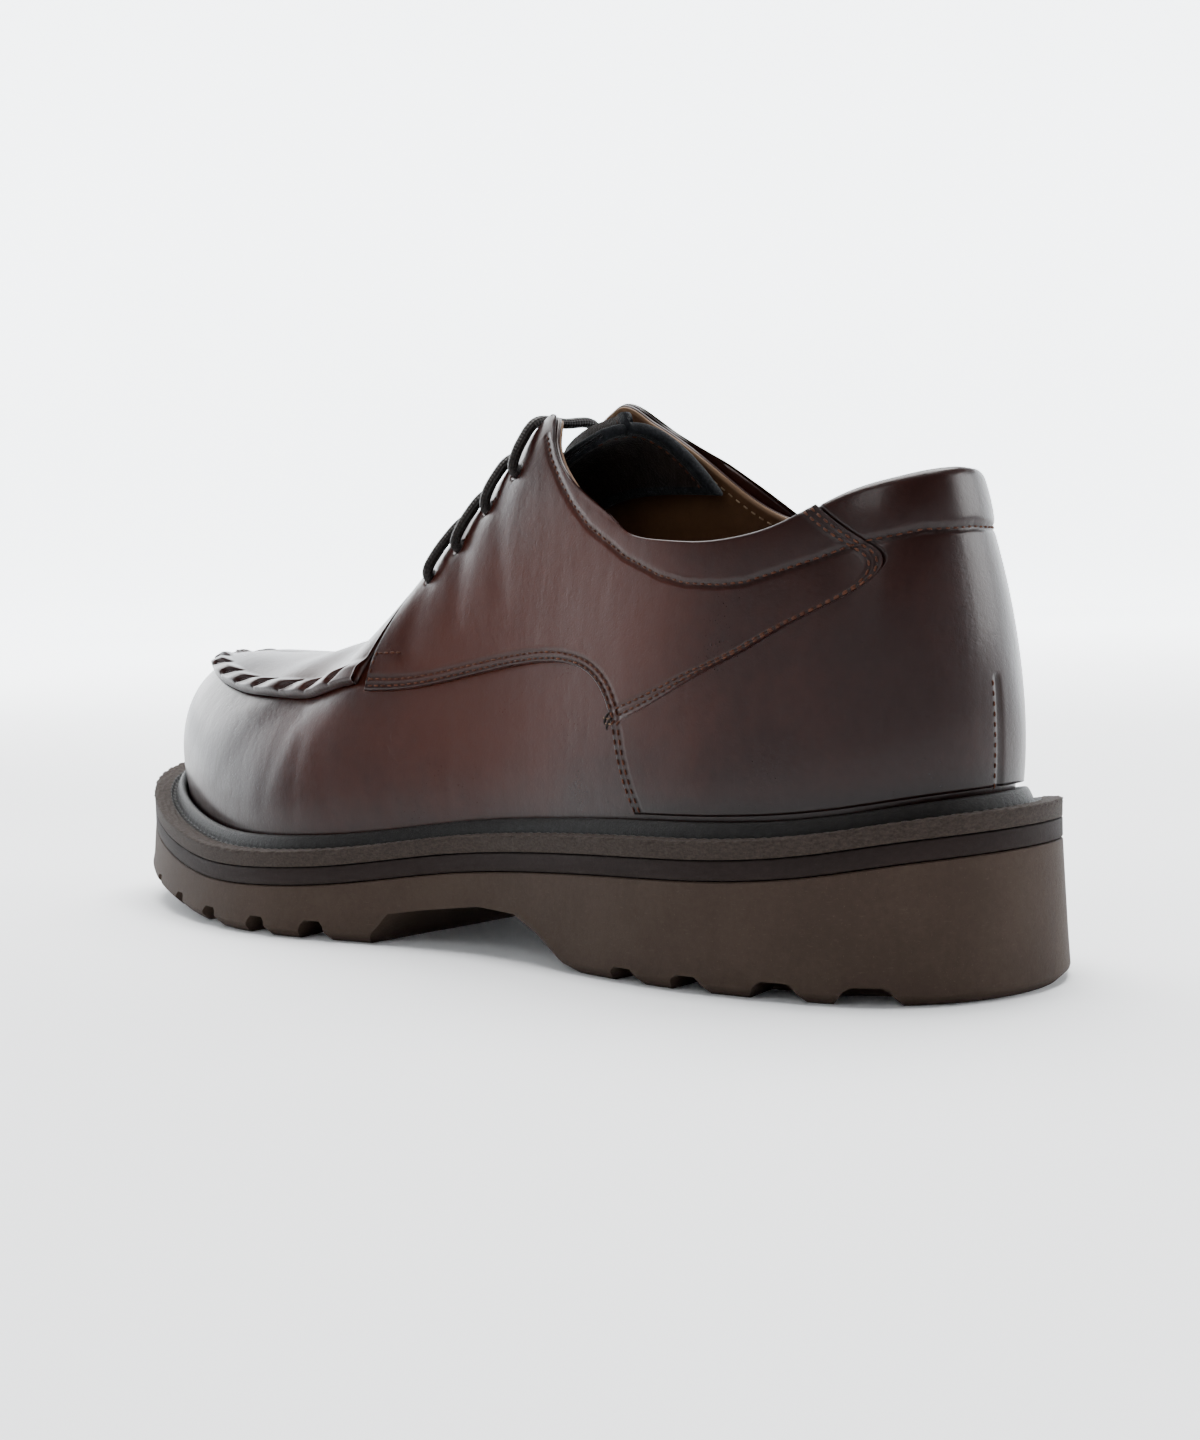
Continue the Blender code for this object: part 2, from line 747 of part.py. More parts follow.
for a, b in zip(border, border[1:]):
    faces.append((a, b, b + rows * cols, a + rows * cols))
body("apron", SHOE, APRON_LEATHER, np.vstack([top_points, low_points]), faces)

TONGUE_TOP = table(
    "across station",
    [
        (-1, 0.350),
        (-0.6, 0.382),
        (-0.3, 0.405),
        (0, 0.423),
        (0.5, 0.425),
        (1, 0.432),
    ],
)
TONGUE_FOOT = 0.655
TONGUE_THICKNESS = 2.6
rows, cols = 11, 13
u = np.linspace(-1, 1, cols)[None, :]
w = np.linspace(0, 1, rows)[:, None]
top_station = spline(TONGUE_TOP["across"], TONGUE_TOP["station"])(u)
wing = np.where(u < 0, 0.60, 0.66)
s = TONGUE_FOOT + (top_station - TONGUE_FOOT) * w
v = 1 - (1 - wing) * np.abs(u) * (0.75 + np.where(u < 0, 0.25, -0.32) * w)
side = np.where(u < 0, -1.0, 1.0)
sink = 9.6 * smooth((w - 0.35) / 0.65) * (1 - np.where(u < 0, 1, 0.45) * np.abs(u) ** 1.6) + 1.2 * w
q = np.broadcast_to(side * s, (rows, cols))
face = skin(q, v, face_lift(q) - UPPER_WALL - GAP - 1.3)
face = face - sink[..., None] * last_normal(q, np.ones((rows, cols)))
along = np.gradient(face, axis=0)
across = np.gradient(face, axis=1)
out = np.cross(along, across)
out /= np.linalg.norm(out, axis=-1, keepdims=True)
top_points = face.reshape(-1, 3)
low_points = (face - TONGUE_THICKNESS * out).reshape(-1, 3)
sheet("tongue", SHOE, SUEDE, top_points, low_points, rows, cols)

CORD_RADIUS = 1.35
for k, (s, v) in enumerate(zip(EYELETS["station"], EYELETS["share"])):
    v_edge = float(topline_share([s])[0])
    shares = np.array([v - 0.004, v + 0.35 * (v_edge - v), v + 0.7 * (v_edge - v), v_edge])
    lift = bed(s) + OVERLAY + GAP + CORD_RADIUS + np.array([0.05, 0.2, 0.15, 0.0])
    lateral = skin(np.full(4, s), shares, lift)
    medial = skin(np.full(4, -s), shares, lift)
    middle = (lateral[-1] + medial[-1]) / 2 + [0, 0, 0.6]
    stops = np.vstack([lateral, middle, medial[::-1]])
    d = np.concatenate([[0], np.cumsum(np.linalg.norm(np.diff(stops, axis=0), axis=1))])
    path = spline(d, stops)(np.linspace(0, d[-1], 13))
    tube(f"lace_bar_{k + 1}", SHOE, CORD, path, CORD_RADIUS, 8)

holes = []
for side in (1, -1):
    for k, (s, v) in enumerate(zip(EYELETS["station"], EYELETS["share"])):
        ends = skin(np.full(2, side * s), np.full(2, v), np.array([-4.0, 3.5]))
        holes.append(tube(f"hole_{k}_{side}", CUTTERS, CUTTER, ends, 1.9, 8))
cut(upper, holes)
cut(quarters[0], holes[:4])
cut(quarters[1], holes[4:])
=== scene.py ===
"""Apron toe derby, dressed: leather, seams, lace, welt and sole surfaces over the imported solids.

Sizes are in millimetres unless a line says metres: x to the little toe side, t from the back of the
sole to the toe, z up. Stations run from 0 at the heel to 1 at the toe, lateral positive. Shares run
from 0 at the feather line, where the upper meets the welt, to 1 on the ridge of the last.
"""

import bmesh
import bpy
import numpy as np
from mathutils import Matrix


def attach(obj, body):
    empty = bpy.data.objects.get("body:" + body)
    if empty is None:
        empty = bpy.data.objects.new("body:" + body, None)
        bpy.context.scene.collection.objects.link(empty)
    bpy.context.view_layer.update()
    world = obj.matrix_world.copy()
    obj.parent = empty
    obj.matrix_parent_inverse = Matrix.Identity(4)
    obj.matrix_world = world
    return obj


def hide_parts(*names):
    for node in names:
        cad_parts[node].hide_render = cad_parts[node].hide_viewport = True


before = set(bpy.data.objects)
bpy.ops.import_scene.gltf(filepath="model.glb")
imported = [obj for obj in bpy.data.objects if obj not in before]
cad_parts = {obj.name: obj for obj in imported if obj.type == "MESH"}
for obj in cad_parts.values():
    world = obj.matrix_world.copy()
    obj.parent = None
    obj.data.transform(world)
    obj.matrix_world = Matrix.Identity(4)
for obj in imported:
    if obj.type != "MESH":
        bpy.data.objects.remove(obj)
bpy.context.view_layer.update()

MM = 0.001
SOLE_LENGTH = 300.0
HALF_LENGTH = SOLE_LENGTH / 2


def place_camera():
    """Camera where the photographer stood: level with the shoe, off its lateral heel."""
    lens = bpy.data.cameras.new("camera")
    lens.lens = 57.4
    lens.sensor_width = 36.0
    eye = bpy.data.objects.new("camera", lens)
    right = (-0.69822, 0.71534, -0.02784)
    up = (-0.07453, -0.03396, 0.99664)
    back = (0.71199, 0.69795, 0.07703)
    stand = (0.41135, 0.42464, 0.09866)
    eye.matrix_world = Matrix([(*row,) for row in zip(right, up, back, stand)] + [(0, 0, 0, 1)])
    bpy.context.scene.collection.objects.link(eye)
    bpy.context.scene.camera = eye


place_camera()


def table(names, rows):
    """Columns of a table by name."""
    return {name: np.array([row[k] for row in rows], float) for k, name in enumerate(names.split())}


OUTLINE = table(
    "from_heel lateral medial",
    [
        (0, 0, 0), (4, 18, 17), (16, 32, 30.5), (39, 41, 38.5), (66, 45, 37.5), (100, 43.3, 33),
        (133, 41, 33.5), (166, 46.3, 42.5), (193, 52.8, 51), (214, 53.4, 53.4), (242, 47.8, 49.5),
        (269, 36.8, 39), (292, 19, 22.5), (300, 0, 0),
    ],
)
TOE_SHIFT = 1.5
RIM = table(
    "from_heel height",
    [
        (0, 40.4), (12, 39), (28, 36.3), (45, 34.2), (60, 33.3), (80, 32.6), (104, 31.3),
        (125, 29.7), (144, 27.8), (160, 25.6), (178, 23.3), (199, 21.8), (225, 21.5), (248, 23.9),
        (268, 27.6), (284, 31.8), (300, 36.5),
    ],
)
LAST = table(
    "station ridge_from_heel ridge_height foot_out foot_up lateral medial fall",
    [
        (0.00, 32.0, 148.0, 3.4, 34.5, 14.0, 14.0, 34.0),
        (0.08, 34.0, 149.0, 3.6, 36.0, 15.6, 17.4, 34.0),
        (0.17, 48.0, 151.5, 2.2, 33.5, 20.6, 20.8, 28.0),
        (0.28, 77.0, 152.5, 0.3, 29.0, 24.0, 23.0, 18.0),
        (0.38, 107.0, 146.0, 0.0, 27.0, 24.0, 23.5, 8.5),
        (0.47, 133.0, 135.5, 0.5, 26.5, 22.0, 22.5, 3.5),
        (0.55, 151.0, 117.0, 1.0, 26.5, 22.0, 22.0, 3.0),
        (0.62, 169.6, 98.1, 1.5, 25.5, 26.0, 25.0, 3.0),
        (0.69, 187.0, 80.5, 2.2, 25.0, 28.0, 28.0, 3.5),
        (0.76, 206.5, 74.0, 3.3, 25.0, 32.0, 30.0, 2.5),
        (0.83, 225.0, 69.5, 4.0, 25.0, 32.0, 30.0, 1.0),
        (0.89, 243.0, 68.3, 4.5, 24.5, 28.0, 26.0, -2.0),
        (0.95, 257.5, 68.0, 3.8, 23.0, 23.0, 22.0, -4.2),
        (1.00, 263.5, 67.5, 2.6, 23.0, 19.0, 19.0, -4.2),
    ],
)
TOPLINE = table(
    "station lateral_height medial_height",
    [
        (0.00, 112.8, 112.8), (0.05, 112.3, 112.3), (0.10, 110.5, 110.6), (0.13, 108.4, 109.0),
        (0.16, 104.8, 106.5), (0.19, 101.0, 104.0), (0.22, 98.9, 102.0), (0.26, 98.0, 101.3),
        (0.29, 98.5, 102.6), (0.33, 100.3, 108.6), (0.36, 104.2, 116.0), (0.39, 109.2, 123.3),
        (0.41, 114.2, 127.6), (0.43, 119.6, 131.3), (0.45, 126.0, 134.0), (0.48, 131.0, 135.0),
    ],
)
FACING = table("side collar_end corner", [(1, 0.44, 0.475), (-1, 0.415, 0.455)])
HALF_GAP = table(
    "station gap",
    [
        (0.40, 9.0), (0.46, 9.0), (0.49, 9.4), (0.52, 10.4), (0.55, 12.2), (0.58, 14.5),
        (0.62, 17.0),
    ],
)
THROAT = 0.60
COUNTER = table(
    "station share",
    [
        (0.306, 0.012), (0.321, 0.110), (0.331, 0.204), (0.298, 0.233), (0.244, 0.290),
        (0.208, 0.326), (0.176, 0.366), (0.122, 0.425), (0.107, 0.455), (0.106, 0.480),
        (0.122, 0.508), (0.158, 0.567),
    ],
)
QUARTER_LOW = table(
    "station share",
    [
        (0.331, 0.204), (0.336, 0.233), (0.347, 0.271), (0.369, 0.304), (0.397, 0.317),
        (0.476, 0.319), (0.554, 0.346), (0.594, 0.382),
    ],
)
QUARTER_FRONT = table(
    "station share",
    [
        (0.594, 0.382), (0.602, 0.475), (0.604, 0.560), (0.603, 0.650), (0.596, 0.740),
        (0.580, 0.830),
    ],
)
APRON = table(
    "station share",
    [
        (0.612, 0.420), (0.676, 0.479), (0.736, 0.517), (0.802, 0.540), (0.862, 0.567),
        (0.914, 0.592), (0.960, 0.605), (1.000, 0.610),
    ],
)
EYELETS = table(
    "station share",
    [
        (0.484, 0.717), (0.520, 0.696), (0.550, 0.662), (0.578, 0.642),
    ],
)
COLLAR_LINE = table(
    "station share",
    [
        (0.000, 0.540), (0.069, 0.532), (0.117, 0.508), (0.151, 0.478), (0.185, 0.453),
        (0.211, 0.435), (0.236, 0.430), (0.265, 0.432), (0.292, 0.445), (0.330, 0.478),
        (0.373, 0.535), (0.397, 0.583), (0.415, 0.630), (0.434, 0.688), (0.450, 0.753),
    ],
)

FEATHER_INSET = 9.3
ROLL_HEIGHT = 3.4
WELT_THICKNESS = 4.0
MIDSOLE_THICKNESS = 4.6
TOE_SPRING = 11.0
QUARTER_BACKING = -0.9
VAMP_FACE = -0.3
UPPER_WALL = 1.7
OVERLAY = 1.2
GAP = 0.35
OVERLAY_GAP = 0.55
SEAT_INSET = 9.7
INSOLE_THICKNESS = 3.6
SEAM_LAP = 0.5
SPAN = 385.0
HEIGHT = 95.0
CORD_RADIUS = 1.35
TONGUE_THICKNESS = 2.6
TONGUE_FOOT = 0.655
TONGUE_RIM = 3.0
VAMP_LEATHER = 0.9
LINING_LIFT = -0.95
SHELL_ROWS = 60
ROPE_PITCH = 3.1
SIDE_SEAM_ROWS = (1.3, 3.0)
LOW_EDGE_ROWS = (1.6, 3.4)
COUNTER_ROWS = (1.4, 3.2)
SLOT_STATIONS = np.array([0.645, 0.693, 0.739, 0.789, 0.833, 0.868, 0.905, 0.945, 0.985])
SLOT_INSET = 3.6
SLOT_SLANT = np.radians(42)
NOTCH_REACH = 17.0
WELT_BOTTOM = -WELT_THICKNESS
MIDSOLE_TOP = WELT_BOTTOM - 0.3
MIDSOLE_BOTTOM = MIDSOLE_TOP - MIDSOLE_THICKNESS + 0.3
OUTSOLE_TOP = MIDSOLE_BOTTOM - 0.3


def spline(knots, values):
    """Natural cubic spline through the rows, at each value of its argument."""
    k = np.asarray(knots, float)
    y = np.asarray(values, float)
    y = y[:, None] if y.ndim == 1 else y
    n = len(k)
    h = np.diff(k)
    a = np.zeros((n, n))
    r = np.zeros_like(y)
    a[0, 0] = a[-1, -1] = 1
    for i in range(1, n - 1):
        a[i, i - 1 : i + 2] = h[i - 1], 2 * (h[i - 1] + h[i]), h[i]
        r[i] = 6 * ((y[i + 1] - y[i]) / h[i] - (y[i] - y[i - 1]) / h[i - 1])
    m = np.linalg.solve(a, r)

    def at(x):
        x = np.asarray(x, float)
        i = np.clip(np.searchsorted(k, x) - 1, 0, n - 2)
        low = ((k[i + 1] - x) / h[i])[..., None]
        high = ((x - k[i]) / h[i])[..., None]
        cubic = (low**3 - low) * m[i] + (high**3 - high) * m[i + 1]
        out = low * y[i] + high * y[i + 1] + cubic * (h[i][..., None] ** 2) / 6
        return out[..., 0] if out.shape[-1] == 1 else out

    return at


def mirrored(knots, values, rows):
    """Spline with rows mirrored past both ends, so that it is level there."""
    k = np.asarray(knots, float)
    y = np.asarray(values, float)
    k_all = np.concatenate([2 * k[0] - k[rows:0:-1], k, 2 * k[-1] - k[-2 : -2 - rows : -1]])
    return spline(k_all, np.concatenate([y[rows:0:-1], y, y[-2 : -2 - rows : -1]]))


def smooth(x):
    x = np.clip(x, 0, 1)
    return x * x * (3 - 2 * x)


def unit(vectors):
    return vectors / np.linalg.norm(vectors, axis=-1, keepdims=True)


def outline_function():
    """Plan of the sole edge: position and outward normal at a signed station, lateral positive."""
    t = OUTLINE["from_heel"]
    lateral = OUTLINE["lateral"].copy()
    medial = -OUTLINE["medial"].copy()
    lateral[-1] = medial[-1] = -TOE_SHIFT
    steps = (np.hypot(np.diff(lateral), np.diff(t)) + np.hypot(np.diff(medial), np.diff(t))) / 2
    knots = np.concatenate([[0], np.cumsum(steps)])
    x = np.concatenate([lateral[-6:-1], medial[:0:-1], lateral, medial[-2:-7:-1]])
    y = np.concatenate([t[-6:-1], t[:0:-1], t, t[-2:-7:-1]])
    w = np.concatenate([knots[-6:-1] - 2 * knots[-1], -knots[:0:-1], knots, 2 * knots[-1] - knots[-2:-7:-1]])
    curve = spline(w, np.stack([x, y], -1))

    def at(q):
        q = np.asarray(q, float)
        q = np.where(q > 1, q - 2, np.where(q < -1, q + 2, q)) * knots[-1]
        d = unit(curve(q + 0.05) - curve(q - 0.05))
        return curve(q), np.stack([d[..., 1], -d[..., 0]], -1)

    return at


outline = outline_function()
rim_height = spline(RIM["from_heel"], RIM["height"])
SECTION = "ridge_from_heel ridge_height foot_out foot_up lateral medial fall".split()
last_rows = mirrored(LAST["station"], np.stack([LAST[name] for name in SECTION], -1), 3)


def edge(q, inset):
    """Plan point of the sole edge moved inward by inset."""
    p, n = outline(q)
    return p - np.asarray(inset, float)[..., None] * n


def rim_ring(q, inset, rise):
    """Ring of points at an inset from the sole edge and a rise above the welt rim."""
    p = edge(q, inset)
    return np.dstack([p[None], rim_height(p[:, 1])[None, :, None] + rise])


def last(q, v):
    """Outside of the upper: a cubic curve from the feather line, v = 0, to the ridge of the last, v = 1."""
    q = np.asarray(q, float)
    q = np.where(q > 1, q - 2, np.where(q < -1, q + 2, q))
    s = np.abs(q)
    side = np.where(q >= 0, 1.0, -1.0)
    v = np.asarray(v, float)[..., None]
    row = last_rows(s)
    plan, normal = outline(q)
    plan = plan - FEATHER_INSET * normal
    zero = np.zeros_like(s)
    foot = np.stack([plan[..., 0], plan[..., 1], rim_height(plan[..., 1]) + ROLL_HEIGHT], -1)
    ridge = np.stack([-TOE_SHIFT * smooth((s - 0.6) / 0.4), row[..., 0], row[..., 1]], -1)
    out = np.stack([normal[..., 0], normal[..., 1], zero], -1)
    across = np.stack([side, zero, zero], -1)
    fan = np.maximum(smooth((s - 0.80) / 0.12), smooth((0.22 - s) / 0.14))[..., None]
    wide = unit(across * (1 - fan) + out * fan)
    reach = np.where(side > 0, row[..., 4], row[..., 5])[..., None]
    up = np.array([0, 0, 1.0])
    low = foot + out * row[..., 2:3] + up * row[..., 3:4]
    high = ridge + wide * reach - up * row[..., 6:7]
    return (1 - v) ** 3 * foot + 3 * v * (1 - v) ** 2 * low + 3 * v * v * (1 - v) * high + v**3 * ridge


def last_normal(q, v):
    """Outward unit normal; along the ridge it is shared by the two sides."""
    q = np.asarray(q, float)
    top = (np.asarray(v, float) > 0.999)[..., None]
    v = np.clip(np.asarray(v, float), 0.0, 0.985)
    e = 2e-3

    def raw(q):
        return unit(np.cross(last(q + e, v) - last(q - e, v), last(q, v + e) - last(q, v - e)))

    n = raw(q)
    return unit(np.where(top, n + raw(-q), n))


def skin(q, v, lift):
    """Point lifted off the last along its normal, negative inward."""
    return last(q, v) + np.asarray(lift, float)[..., None] * last_normal(q, v)


def face_lift(q):
    """Lift of the outside of the upper: set back under the quarters and counter, full at the vamp."""
    return QUARTER_BACKING + (VAMP_FACE - QUARTER_BACKING) * smooth((np.abs(q) - 0.30) / 0.35)


def bed(q):
    """Lift of the underside of an overlay."""
    return face_lift(q) + OVERLAY_GAP


def topline_table(count):
    """Shares of the top edge of the upper at evenly spaced signed stations."""
    q = np.linspace(-1, 1, count)
    v = np.linspace(0, 1, 400)
    s = np.abs(q)
    right = q >= 0
    points = last(q[:, None] + 0 * v, v[None] + 0 * q[:, None])
    lateral = spline(TOPLINE["station"], TOPLINE["lateral_height"])(s)
    height = np.where(right, lateral, spline(TOPLINE["station"], TOPLINE["medial_height"])(s))
    gap = spline(HALF_GAP["station"], HALF_GAP["gap"])(np.clip(s, 0.40, 0.62))
    by_height = np.array([np.interp(h, np.sort(z), v[np.argsort(z)]) for h, z in zip(height, points[..., 2])])
    inward = -np.abs(points[..., 0])
    by_gap = np.array([np.interp(-g, np.sort(x), v[np.argsort(x)]) for g, x in zip(gap, inward)])
    start = np.where(right, FACING["collar_end"][0], FACING["collar_end"][1])
    corner = np.where(right, FACING["corner"][0], FACING["corner"][1])
    mix = smooth((s - start) / (corner - start))
    share = by_height * (1 - mix) + by_gap * mix
    close = smooth((s - (THROAT - 0.03)) / 0.03)
    share = share * (1 - close) + close
    return q, np.where(s >= THROAT - 1e-9, 1.0, share)


TOP_STATIONS, TOP_SHARES = topline_table(2001)


def topline_share(q):
    return np.interp(q, TOP_STATIONS, TOP_SHARES)


def to_row(points):
    """Millimetres from the back of the sole to metres in the shared frame."""
    p = np.array(points, float)
    p[..., 1] = HALF_LENGTH - p[..., 1]
    return p * MM


def ground(t):
    """Height of the tread line: flat to 0.70 of the length, then toe spring."""
    return TOE_SPRING * np.clip((t / SOLE_LENGTH - 0.70) / 0.30, 0, None) ** 1.65


def along(rows, shares):
    """Points on the spline through rows of (station, share), at shares of its length."""
    p = np.stack([rows["station"], rows["share"]], -1)
    d = np.concatenate([[0], np.cumsum(np.hypot(*np.diff(p, axis=0).T))])
    return spline(d, p)(np.asarray(shares) * d[-1])


def packed(count, ends=0.75):
    """Shares from 0 to 1, closer together near both ends."""
    t = np.linspace(0, 1, count)
    return t - ends * np.sin(2 * np.pi * t) / (2 * np.pi)


def run(grid, axis):
    """Distance in mm along the grid lines from the first row or column."""
    step = np.linalg.norm(np.diff(grid, axis=axis), axis=-1)
    start = np.zeros_like(np.take(step, [0], axis=axis))
    return np.concatenate([start, np.cumsum(step, axis=axis)], axis=axis)


def nearest(points, line):
    """Distance from each point to the closest of the points of a line."""
    flat = points.reshape(-1, 3)
    parts = np.array_split(flat, max(1, len(flat) // 3000))
    found = [np.sqrt(((p[:, None] - line[None]) ** 2).sum(-1).min(1)) for p in parts]
    return np.concatenate(found).reshape(points.shape[:-1])


def bell(distance, width):
    """1 on the line, falling to 0 about two widths away."""
    return np.exp(-((distance / width) ** 2))


def cut_edge(distance, radius):
    """0 at the very edge of a panel and 1 from a radius inward, round between."""
    x = 1 - np.clip(distance / radius, 0, 1)
    return np.sqrt(1 - x * x)


def wave(points, size, seed):
    """Smooth unevenness between -1 and 1: a sum of six slanted sine waves of about the given size."""
    rng = np.random.default_rng(seed)
    total = np.zeros(points.shape[:-1])
    for _ in range(6):
        way = unit(rng.normal(size=3))
        total += np.sin(points @ way * (2 * np.pi / size) * rng.uniform(0.6, 1.5) + rng.uniform(0, 6.28))
    return total / 3.2


def grid_faces(rows, cols, start=0, round_cols=False, round_rows=False):
    """Quads of a grid of points counted row by row; either way may close on itself."""
    r = np.arange(rows if round_rows else rows - 1)[:, None]
    c = np.arange(cols if round_cols else cols - 1)[None]
    here, there = r * cols, (r + 1) % rows * cols
    near, far = c, (c + 1) % cols
    return start + np.stack([here + near, here + far, there + far, there + near], -1).reshape(-1, 4)


def piece(name, finish, points, faces, fields=None, stands_for=(), slot=None, merge=False):
    """Closed smooth mesh from points in mm and lists of faces, turned to face outwards.

    The volume is the sum of the signed tetrahedra from the origin to each fan triangle of each face;
    where it comes out negative, every face is reversed.
    """
    points = to_row(points)
    polygons = [face for group in faces for face in np.asarray(group).tolist()]
    fans = [np.asarray(group) for group in faces]
    volume = 0.0
    for group in fans:
        for k in range(1, group.shape[1] - 1):
            a, b, c = points[group[:, 0]], points[group[:, k]], points[group[:, k + 1]]
            volume += (a * np.cross(b, c)).sum()
    if volume < 0:
        polygons = [face[::-1] for face in polygons]
    mesh = bpy.data.meshes.new(name)
    mesh.from_pydata(points.tolist(), [], polygons)
    for field, values in (fields or {}).items():
        kept = mesh.attributes.new(field, "FLOAT", "POINT")
        kept.data.foreach_set("value", np.asarray(values, np.float32).ravel())
    if merge:
        bm = bmesh.new()
        bm.from_mesh(mesh)
        bmesh.ops.remove_doubles(bm, verts=bm.verts, dist=1e-6)
        bm.to_mesh(mesh)
        bm.free()
    mesh.polygons.foreach_set("use_smooth", np.ones(len(mesh.polygons), bool))
    mesh.materials.append(finish)
    obj = bpy.data.objects.new(name, mesh)
    bpy.context.scene.collection.objects.link(obj)
    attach(obj, "root")
    if stands_for:
        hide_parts(*stands_for)
    return obj


def panel(name, finish, top, under, fields, keep=26, **more):
    """Thin closed panel between a top grid and an under grid, of which only some rows are kept.

    The first and last rows are joined by quads. Along each side border, every step of the top is joined
    to the kept under point before it, and one more triangle closes the step between two kept points.
    """
    rows, cols = top.shape[:2]
    chosen = np.unique(np.linspace(0, rows - 1, keep).round().astype(int))
    below = under[chosen]
    start = rows * cols
    count = len(chosen)
    column = np.arange(cols - 1)
    first = np.stack([column, column + 1, start + column + 1, start + column], -1)
    high, low = (rows - 1) * cols, start + (count - 1) * cols
    final = np.stack([high + column + 1, high + column, low + column, low + column + 1], -1)
    faces = [grid_faces(rows, cols)[:, ::-1], grid_faces(count, cols, start), first, final]
    row = np.arange(rows - 1)
    held = np.searchsorted(chosen, row, side="right") - 1
    for c in (0, cols - 1):
        fan = np.stack([start + held * cols + c, row * cols + c, (row + 1) * cols + c], -1)
        k = np.arange(count - 1)
        step = np.stack([start + k * cols + c, chosen[1:] * cols + c, start + (k + 1) * cols + c], -1)
        faces += [fan, step] if c == 0 else [fan[:, ::-1], step[:, ::-1]]
    points = np.vstack([top.reshape(-1, 3), below.reshape(-1, 3)])
    both = {k: np.concatenate([f.ravel(), f[chosen].ravel()]) for k, f in fields.items()}
    return piece(name, finish, points, faces, both, merge=True, **more)


def band(name, finish, rings, fields=None, **more):
    """Ring with a closed section: rings of points round the shoe, one after the other round the section."""
    rings = np.asarray(rings)
    flat = {k: f.ravel() for k, f in (fields or {}).items()}
    faces = grid_faces(len(rings), rings.shape[1], 0, True, True)
    return piece(name, finish, rings.reshape(-1, 3), [faces], flat, **more)


def frames(line):
    """Unit tangents of a line of points, by central differences."""
    return unit(np.gradient(line, axis=0))


def spaced(line, pitch):
    """Places along a line at an even pitch: (index as a fraction) so that other rows can follow."""
    d = np.concatenate([[0], np.cumsum(np.linalg.norm(np.diff(line, axis=0), axis=1))])
    count = max(2, int(d[-1] / pitch))
    return np.interp((np.arange(count) + 0.5) * d[-1] / count, d, np.arange(len(d)))


def at_place(rows, place):
    """Rows read at places between whole numbers, in straight steps."""
    low = np.clip(np.floor(place).astype(int), 0, len(rows) - 2)
    part = (place - low)[:, None]
    return rows[low] * (1 - part) + rows[low + 1] * part


def stitches(name, finish, line, normals, pitch=2.1, length=1.75, radius=0.27, lean=0.0, rise=0.1, **more):
    """Row of thread stitches: each is a short round bead along the line that dives in at both ends.

    Along a stitch, x from -1 to 1, the middle line is length / 2 * x forward and rise - 0.5 x^4 up,
    and the radius is radius * sqrt(1 - 0.85 x^2). lean turns each stitch in the surface, in degrees.
    """
    place = spaced(line, pitch)
    middle = at_place(line, place)
    ahead = unit(at_place(frames(line), place))
    up = unit(at_place(normals, place))
    side = unit(np.cross(up, ahead))
    turn = np.radians(lean)
    ahead = ahead * np.cos(turn) + side * np.sin(turn)
    side = np.cross(up, ahead)
    x = np.linspace(-1, 1, 6)[None, :, None, None]
    around = np.linspace(0, 2 * np.pi, 6, endpoint=False)[None, None, :, None]
    thick = radius * np.sqrt(1 - 0.85 * x**2)
    spine = middle[:, None, None] + ahead[:, None, None] * x * length / 2
    spine = spine + up[:, None, None] * (rise - 0.5 * x**4)
    wall = thick * (np.cos(around) * side[:, None, None] + np.sin(around) * up[:, None, None])
    points = (spine + wall).reshape(-1, 3)
    one = grid_faces(6, 6, 0, True)
    ends = np.array([np.arange(6)[::-1], 30 + np.arange(6)])
    step = 36 * np.arange(len(place))[:, None, None]
    return piece(name, finish, points, [(one + step).reshape(-1, 4), (ends + step).reshape(-1, 6)], **more)


def inset_rows(grid, normals, side, distance):
    """Line at a distance in mm from a border of a grid, with its normals, by walking the grid lines.

    side is low, high, first or last: the first or last row, or the first or last column.
    """
    g, n = (grid, normals) if side in ("low", "high") else (grid.swapaxes(0, 1), normals.swapaxes(0, 1))
    if side in ("high", "last"):
        g, n = g[::-1], n[::-1]
    d = run(g, 0)
    row = np.array([np.interp(distance, column, np.arange(len(column))) for column in d.T])
    low = np.clip(np.floor(row).astype(int), 0, len(g) - 2)
    part = (row - low)[:, None]
    columns = np.arange(g.shape[1])
    line = g[low, columns] * (1 - part) + g[low + 1, columns] * part
    way = unit(n[low, columns] * (1 - part) + n[low + 1, columns] * part)
    return line, way


def grid_normals(grid, towards):
    """Unit normals of a grid, on the side of the given normals."""
    n = unit(np.cross(np.gradient(grid, axis=0), np.gradient(grid, axis=1)))
    return n * np.sign((n * towards).sum(-1, keepdims=True))


class Wire:
    """A socket that can stand in sums: each operator adds a Math node, and plain numbers stay numbers."""

    def __init__(self, finish, socket):
        self.finish = finish
        self.socket = socket

    def math(self, operation, *values):
        sockets = dict(enumerate(values))
        return self.finish.node("ShaderNodeMath", {"operation": operation}, sockets)

    def __add__(self, other):
        return self.math("ADD", self, other)

    def __radd__(self, other):
        return self.math("ADD", other, self)

    def __sub__(self, other):
        return self.math("SUBTRACT", self, other)

    def __rsub__(self, other):
        return self.math("SUBTRACT", other, self)

    def __mul__(self, other):
        return self.math("MULTIPLY", self, other)

    def __rmul__(self, other):
        return self.math("MULTIPLY", other, self)


